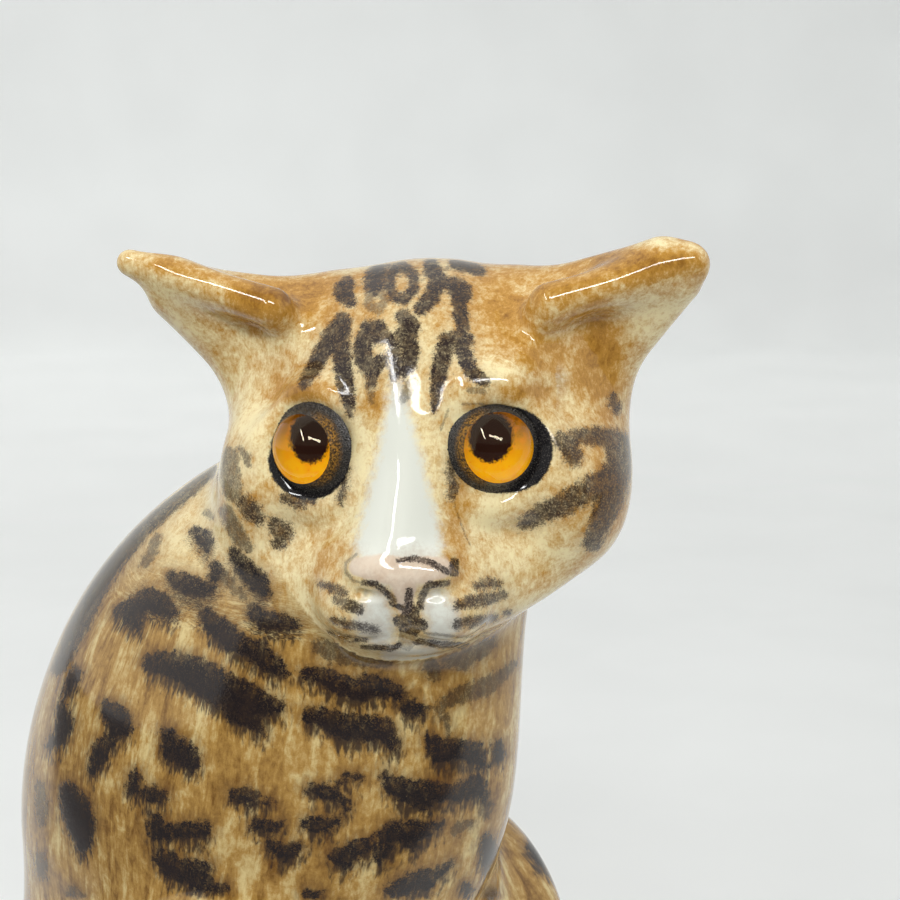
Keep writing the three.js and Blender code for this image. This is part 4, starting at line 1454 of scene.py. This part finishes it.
def face_outward(mesh):
    work = bmesh.new()
    work.from_mesh(mesh)
    bmesh.ops.recalc_face_normals(work, faces=work.faces[:])
    work.to_mesh(mesh)
    work.free()


def unit(v):
    return v / np.linalg.norm(v, axis=0)


def glaze_normals(p, h):
    """Which way the glaze faces: along the field's slope, calmer over the brow and down the bridge."""
    normal = unit(slope(casting, p))
    off_brow = (h - np.array(BROW_CALM)[:, None]) / np.array(BROW_CALM_REACH)[:, None]
    nearness = np.exp(-(off_brow**2).sum(0))
    brow = nearness > BROW_CALM_SHARE[0]
    calm = unit(slope(casting, p[:, brow], CALM_STEP))
    normal[:, brow] += (calm - normal[:, brow]) * rise(nearness[brow], *BROW_CALM_SHARE)
    bridge = (1 - rise(np.abs(h[0]), *BRIDGE_HALF)) * (1 - rise(h[2], *BRIDGE_UPPER))
    bridge = bridge * rise(h[2], *BRIDGE_LOWER) * (h[1] < BRIDGE_DEEP)
    tilt = BRIDGE_TILT[0] + (BRIDGE_TILT[1] - BRIDGE_TILT[0]) * rise(h[0], *BRIDGE_TILT_ACROSS)
    normal[2] -= np.maximum(normal[2] - tilt, 0) * bridge
    return unit(normal)


def build_casting():
    """The whole cat's mesh, with its layers of paint and the glaze's normals."""
    points, faces = casting_mesh()
    mesh = smooth_mesh("cat_casting", points.T, faces.tolist())
    cut_flat(mesh, 0.0)
    mesh.shade_smooth()
    flat = np.zeros(len(mesh.vertices) * 3)
    mesh.vertices.foreach_get("co", flat)
    p = flat.reshape(-1, 3).T / METRES
    h = read_in(HEAD, p)
    normal = glaze_normals(p, h)
    under = p[2] < UNDERSIDE
    layers = paint(p, normal)
    layers["bare"] = under
    hollows = (rise(EAR_PALE_REACH - limb(h, **ear["hollow"]), *EAR_PALE_FADE) for ear in EARS.values())
    layers["ear"] = np.maximum(*hollows) * (np.abs(h[0]) > EAR_PALE_OUT)
    for label, values in layers.items():
        set_values(mesh, label, values)
    down = np.array([[0], [0], [-1.0]])
    mesh.normals_split_custom_set_from_vertices(np.where(under, down, normal).T.tolist())
    return new_object("cat_casting", mesh)


def lathe(profile):
    """A closed turned shape about +Z: poles at the profile's ends and rings between."""
    rings = profile[1:-1]
    points = [(0.0, 0.0, profile[0][1])]
    for radius, height in rings:
        for i in range(TURNED_SEGMENTS):
            angle = 2 * math.pi * i / TURNED_SEGMENTS
            points.append((radius * math.cos(angle), radius * math.sin(angle), height))
    points.append((0.0, 0.0, profile[-1][1]))
    last = len(points) - 1
    faces = []
    for i in range(TURNED_SEGMENTS):
        j = (i + 1) % TURNED_SEGMENTS
        faces.append((0, 1 + i, 1 + j))
        for k in range(len(rings) - 1):
            a, b = 1 + k * TURNED_SEGMENTS, 1 + (k + 1) * TURNED_SEGMENTS
            faces.append((a + i, b + i, b + j, a + j))
        end = 1 + (len(rings) - 1) * TURNED_SEGMENTS
        faces.append((last, end + j, end + i))
    return np.array(points), faces


def turned_ring(profile):
    """A ring of closed section about +Z."""
    points, faces = [], []
    count = len(profile)
    for i in range(TURNED_SEGMENTS):
        angle = 2 * math.pi * i / TURNED_SEGMENTS
        points += [(r * math.cos(angle), r * math.sin(angle), h) for r, h in profile]
    for i in range(TURNED_SEGMENTS):
        j = (i + 1) % TURNED_SEGMENTS
        for k in range(count):
            m = (k + 1) % count
            faces.append((i * count + k, i * count + m, j * count + m, j * count + k))
    return np.array(points), faces


def seated(side, label, points, faces):
    """A shape about +Z put in an eye's seat, its axis looking out."""
    axis = HEAD[1] @ eye_axis(SIDES[side])
    place = write_from(HEAD, np.array([EYE_SEATS[side]], float).T)[:, 0]
    up = unit(np.array([0, 0, 1.0]) - axis * axis[2])
    turn = np.stack([np.cross(up, axis), up, axis], 1)
    return new_object(label, smooth_mesh(label, points @ turn.T + place, faces))


def build_glass(side):
    """A dome cut flat behind."""
    last = math.acos(EYE_BACK / EYE_RADIUS)
    angles = [last * i / DOME_STEPS for i in range(DOME_STEPS + 1)]
    profile = [(EYE_RADIUS * math.sin(a), EYE_RADIUS * math.cos(a)) for a in angles]
    profile += [(EYE_RADIUS * math.sin(last) * DOME_ROUNDED, EYE_BACK), (0, EYE_BACK)]
    return seated(side, "glass_eye_" + side, *lathe(profile))


def build_iris(side):
    """A thin disc behind the glass, with values across and up it for the paint."""
    points, faces = lathe(IRIS_PROFILE)
    piece = seated(side, "iris_" + side, points, faces)
    set_values(piece.data, "across", points[:, 0])
    set_values(piece.data, "up", points[:, 1])
    return piece


def bed_profile():
    """A closed section: over the top, under, and back up along the glass."""
    top = np.array(BED_TOP)
    t = np.linspace(0, len(top) - 1, (len(top) - 1) * BED_STEPS + 1)
    over = np.stack([np.interp(t, np.arange(len(top)), top[:, i]) for i in range(2)], 1)
    reach = EYE_RADIUS + BED_CLEAR
    heights = np.linspace(BED_INSIDE_LOW, BED_TOP[0][1] - BED_INSIDE_SHORT, BED_INSIDE_STEPS)
    back = [(math.sqrt(reach**2 - h**2), h) for h in heights]
    return [*map(tuple, over), *BED_UNDER, *back]


def build_bed(side):
    """The cement round an eye, with values for its colours and its grains."""
    profile = bed_profile()
    points, faces = turned_ring(profile)
    piece = seated(side, "eye_bed_" + side, points, faces)
    radius = np.hypot(points[:, 0], points[:, 1])
    set_values(piece.data, "toward_nose", -SIDES[side] * points[:, 0] / radius)
    set_values(piece.data, "outward", (radius - BED_TOP[0][0]) / (BED_TOP[-1][0] - BED_TOP[0][0]))
    along = np.arange(len(points)) % len(profile)
    set_values(piece.data, "open_side", (along > 1) & (along < (len(BED_TOP) - 1) * BED_STEPS))
    face_outward(piece.data)
    return piece


def cement_grains_tree():
    """Strews small uneven grains over the open side of a bed and gives all of it one material."""
    inputs = {"Bed": "Geometry", "Grain Size": "Float", "Apart": "Float", "Seed": "Int", "Finish": "Material"}
    nodes, given, end = node_group("Geometry", "cement_grains", inputs, {"Bed": "Geometry"})
    chance = Nodes(nodes.tree, "FunctionNode")

    def random(ends):
        values = {0: ends[0], 1: ends[1], "Seed": given["Seed"]}
        return chance.add("RandomValue", values, data_type="FLOAT_VECTOR").outputs[0]

    where = nodes.add("InputNamedAttribute", {"Name": "open_side"}, data_type="FLOAT").outputs["Attribute"]
    strewn = {"Mesh": given["Bed"], "Distance Min": given["Apart"], "Density Max": GRAINS_AT_MOST}
    strewn |= {"Density Factor": where, "Seed": given["Seed"]}
    spots = nodes.add("DistributePointsOnFaces", strewn, distribute_method="POISSON")
    grain = nodes.add("MeshIcoSphere", {"Radius": given["Grain Size"], "Subdivisions": 1})
    laid = {"Points": spots.outputs["Points"], "Instance": grain.outputs["Mesh"]}
    laid |= {"Scale": random(GRAIN_UNEVEN), "Rotation": random(GRAIN_TURNS)}
    both = nodes.add("JoinGeometry")
    for part in (nodes.add("InstanceOnPoints", laid).outputs["Instances"], given["Bed"]):
        nodes.tree.links.new(part, both.inputs[0])
    whole = nodes.add("RealizeInstances", {"Geometry": both.outputs[0]})
    finished = nodes.add("SetMaterial", {"Geometry": whole.outputs[0], "Material": given["Finish"]})
    nodes.feed(end, {0: finished.outputs[0]})
    return nodes.tree


def strew_grains(piece, tree, material):
    """Runs the grains tree on a piece and keeps the result as its plain mesh."""
    values = {"Grain Size": GRAIN_SIZE * METRES, "Apart": GRAINS_APART * METRES, "Seed": GRAIN_SEED}
    values["Finish"] = material
    modifier = piece.modifiers.new("grains", "NODES")
    modifier.node_group = tree
    for socket in tree.interface.items_tree:
        if socket.in_out == "INPUT" and socket.name in values:
            modifier[socket.identifier] = values[socket.name]
    graph = bpy.context.evaluated_depsgraph_get()
    grown = piece.evaluated_get(graph)
    plain = bpy.data.meshes.new_from_object(grown, preserve_all_data_layers=True, depsgraph=graph)
    piece.modifiers.clear()
    plain.shade_smooth()
    piece.data = plain


# Lights by where the glaze shows them: azimuth from straight ahead of the camera, and elevation
LIGHT_FROM = (36.0, -44.0, 233.0)
STRIPS = {
    "strip_upright": dict(ends=((-126, 51), (-154, 25.5)), width=84.0, radiance=28.0),
    "strip_level": dict(ends=((-166, 37.5), (156, 24.5)), width=165.0, radiance=23.0),
}
STRIP_DISTANCE = 1500.0

# The tent's brightness, and the room's in the opening, which is lighter above
TENT_BRIGHT = 0.80
TENT_WHITE = (1.0, 1.0, 0.985, 1.0)
ROOM_LOW = 0.10
ROOM_HIGH = 0.32
OPENING = (0.616, 30.0)
ROOM_TURNS_HIGH = (0.24, 12.0)
LEVEL_LEAST = 1e-4

# The paper: a floor that sweeps up into a wall
FLOOR_FRONT = -1500.0
FLOOR_BACK = 2450.0
FLOOR_HALF = 2600.0
SWEEP = 260.0
SWEEP_STEPS = 16
WALL_TOP = 2600.0
NEAREST = 0.01
FARTHEST = 20.0


def direction(azimuth, elevation):
    a, e = math.radians(azimuth), math.radians(elevation)
    return np.array([math.sin(a) * math.cos(e), math.cos(a) * math.cos(e), math.sin(e)])


def add_strip(name, ends, width, radiance):
    """A narrow lamp whose reflection runs between two directions."""
    first, last = (np.array(LIGHT_FROM) + direction(*end) * STRIP_DISTANCE for end in ends)
    middle, along = (first + last) / 2, last - first
    length = np.linalg.norm(along)
    along /= length
    back = middle - np.array(LIGHT_FROM)
    back = unit(back - along * (back @ along))
    lamp = bpy.data.lights.new(name, "AREA")
    lamp.shape = "RECTANGLE"
    lamp.size, lamp.size_y = length * METRES, width * METRES
    lamp.energy = radiance * math.pi * lamp.size * lamp.size_y
    turn = Matrix(np.stack([along, np.cross(back, along), back], 1).tolist())
    new_object(name, lamp).matrix_world = Matrix.Translation(Vector(middle * METRES)) @ turn.to_4x4()


def build_backdrop():
    """A pale floor that sweeps up into a wall well behind the figure."""
    turns = np.linspace(0, math.pi / 2, SWEEP_STEPS + 1)
    foot = FLOOR_BACK - SWEEP
    profile = [(foot + SWEEP * math.sin(a), SWEEP - SWEEP * math.cos(a)) for a in turns]
    profile = [(FLOOR_FRONT, 0.0), *profile, (FLOOR_BACK, WALL_TOP)]
    points = np.array([(x, y, z) for y, z in profile for x in (-FLOOR_HALF, FLOOR_HALF)])
    faces = [(2 * i, 2 * i + 1, 2 * i + 3, 2 * i + 2) for i in range(len(profile) - 1)]
    backdrop = new_object("backdrop", smooth_mesh("backdrop", points, faces))
    backdrop.data.materials.append(backdrop_paint())


def build_world():
    """A white tent, open toward the camera, where the glaze mirrors a darker room."""
    world = bpy.data.worlds.new("studio")
    bpy.context.scene.world = world
    world.use_nodes = True
    world.node_tree.nodes.clear()
    nodes = Nodes(world.node_tree)
    x, y, z = nodes.split(nodes.add("TexCoord").outputs["Generated"])
    level = nodes.math("MAXIMUM", nodes.length(x, y), LEVEL_LEAST)
    opening = nodes.ramp(nodes.math("DIVIDE", nodes.times(y, -1.0), level), *OPENING)
    room = nodes.plus(ROOM_LOW, nodes.times(nodes.ramp(z, *ROOM_TURNS_HIGH), ROOM_HIGH - ROOM_LOW))
    tent = nodes.times(nodes.less(1.0, opening), TENT_BRIGHT)
    values = {"Color": TENT_WHITE, "Strength": nodes.plus(tent, nodes.times(opening, room))}
    background = nodes.add("Background", values)
    nodes.add("OutputWorld", {"Surface": background.outputs[0]})


def build_camera():
    data = bpy.data.cameras.new("camera")
    data.lens = LENS
    data.sensor_width = SENSOR
    data.clip_start, data.clip_end = NEAREST, FARTHEST
    camera = new_object("camera", data)
    camera.location = Vector(CAMERA_AT) * METRES
    camera.rotation_euler = (math.radians(90 - CAMERA_DOWN), 0, 0)
    bpy.context.scene.camera = camera


def finish_piece(piece, material, replaced=None):
    """Gives a piece its material and its body, and hides the node of the solids that it replaces."""
    if material.name not in piece.data.materials:
        piece.data.materials.append(material)
    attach(piece, "root")
    if replaced:
        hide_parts(replaced)


# The pieces
finish_piece(build_casting(), painted_glaze(), "cat_figure")
glass, amber, cement, grains = eye_glass(), iris_paint(), eye_bed_paint(), cement_grains_tree()
for side in SIDES:
    finish_piece(build_glass(side), glass, "eye_" + side)
    finish_piece(build_iris(side), amber)
    bed = build_bed(side)
    strew_grains(bed, grains, cement)
    finish_piece(bed, cement)

# The studio
for label, values in STRIPS.items():
    add_strip(label, **values)
build_backdrop()
build_world()
build_camera()
bpy.context.scene.view_settings.view_transform = "Standard"
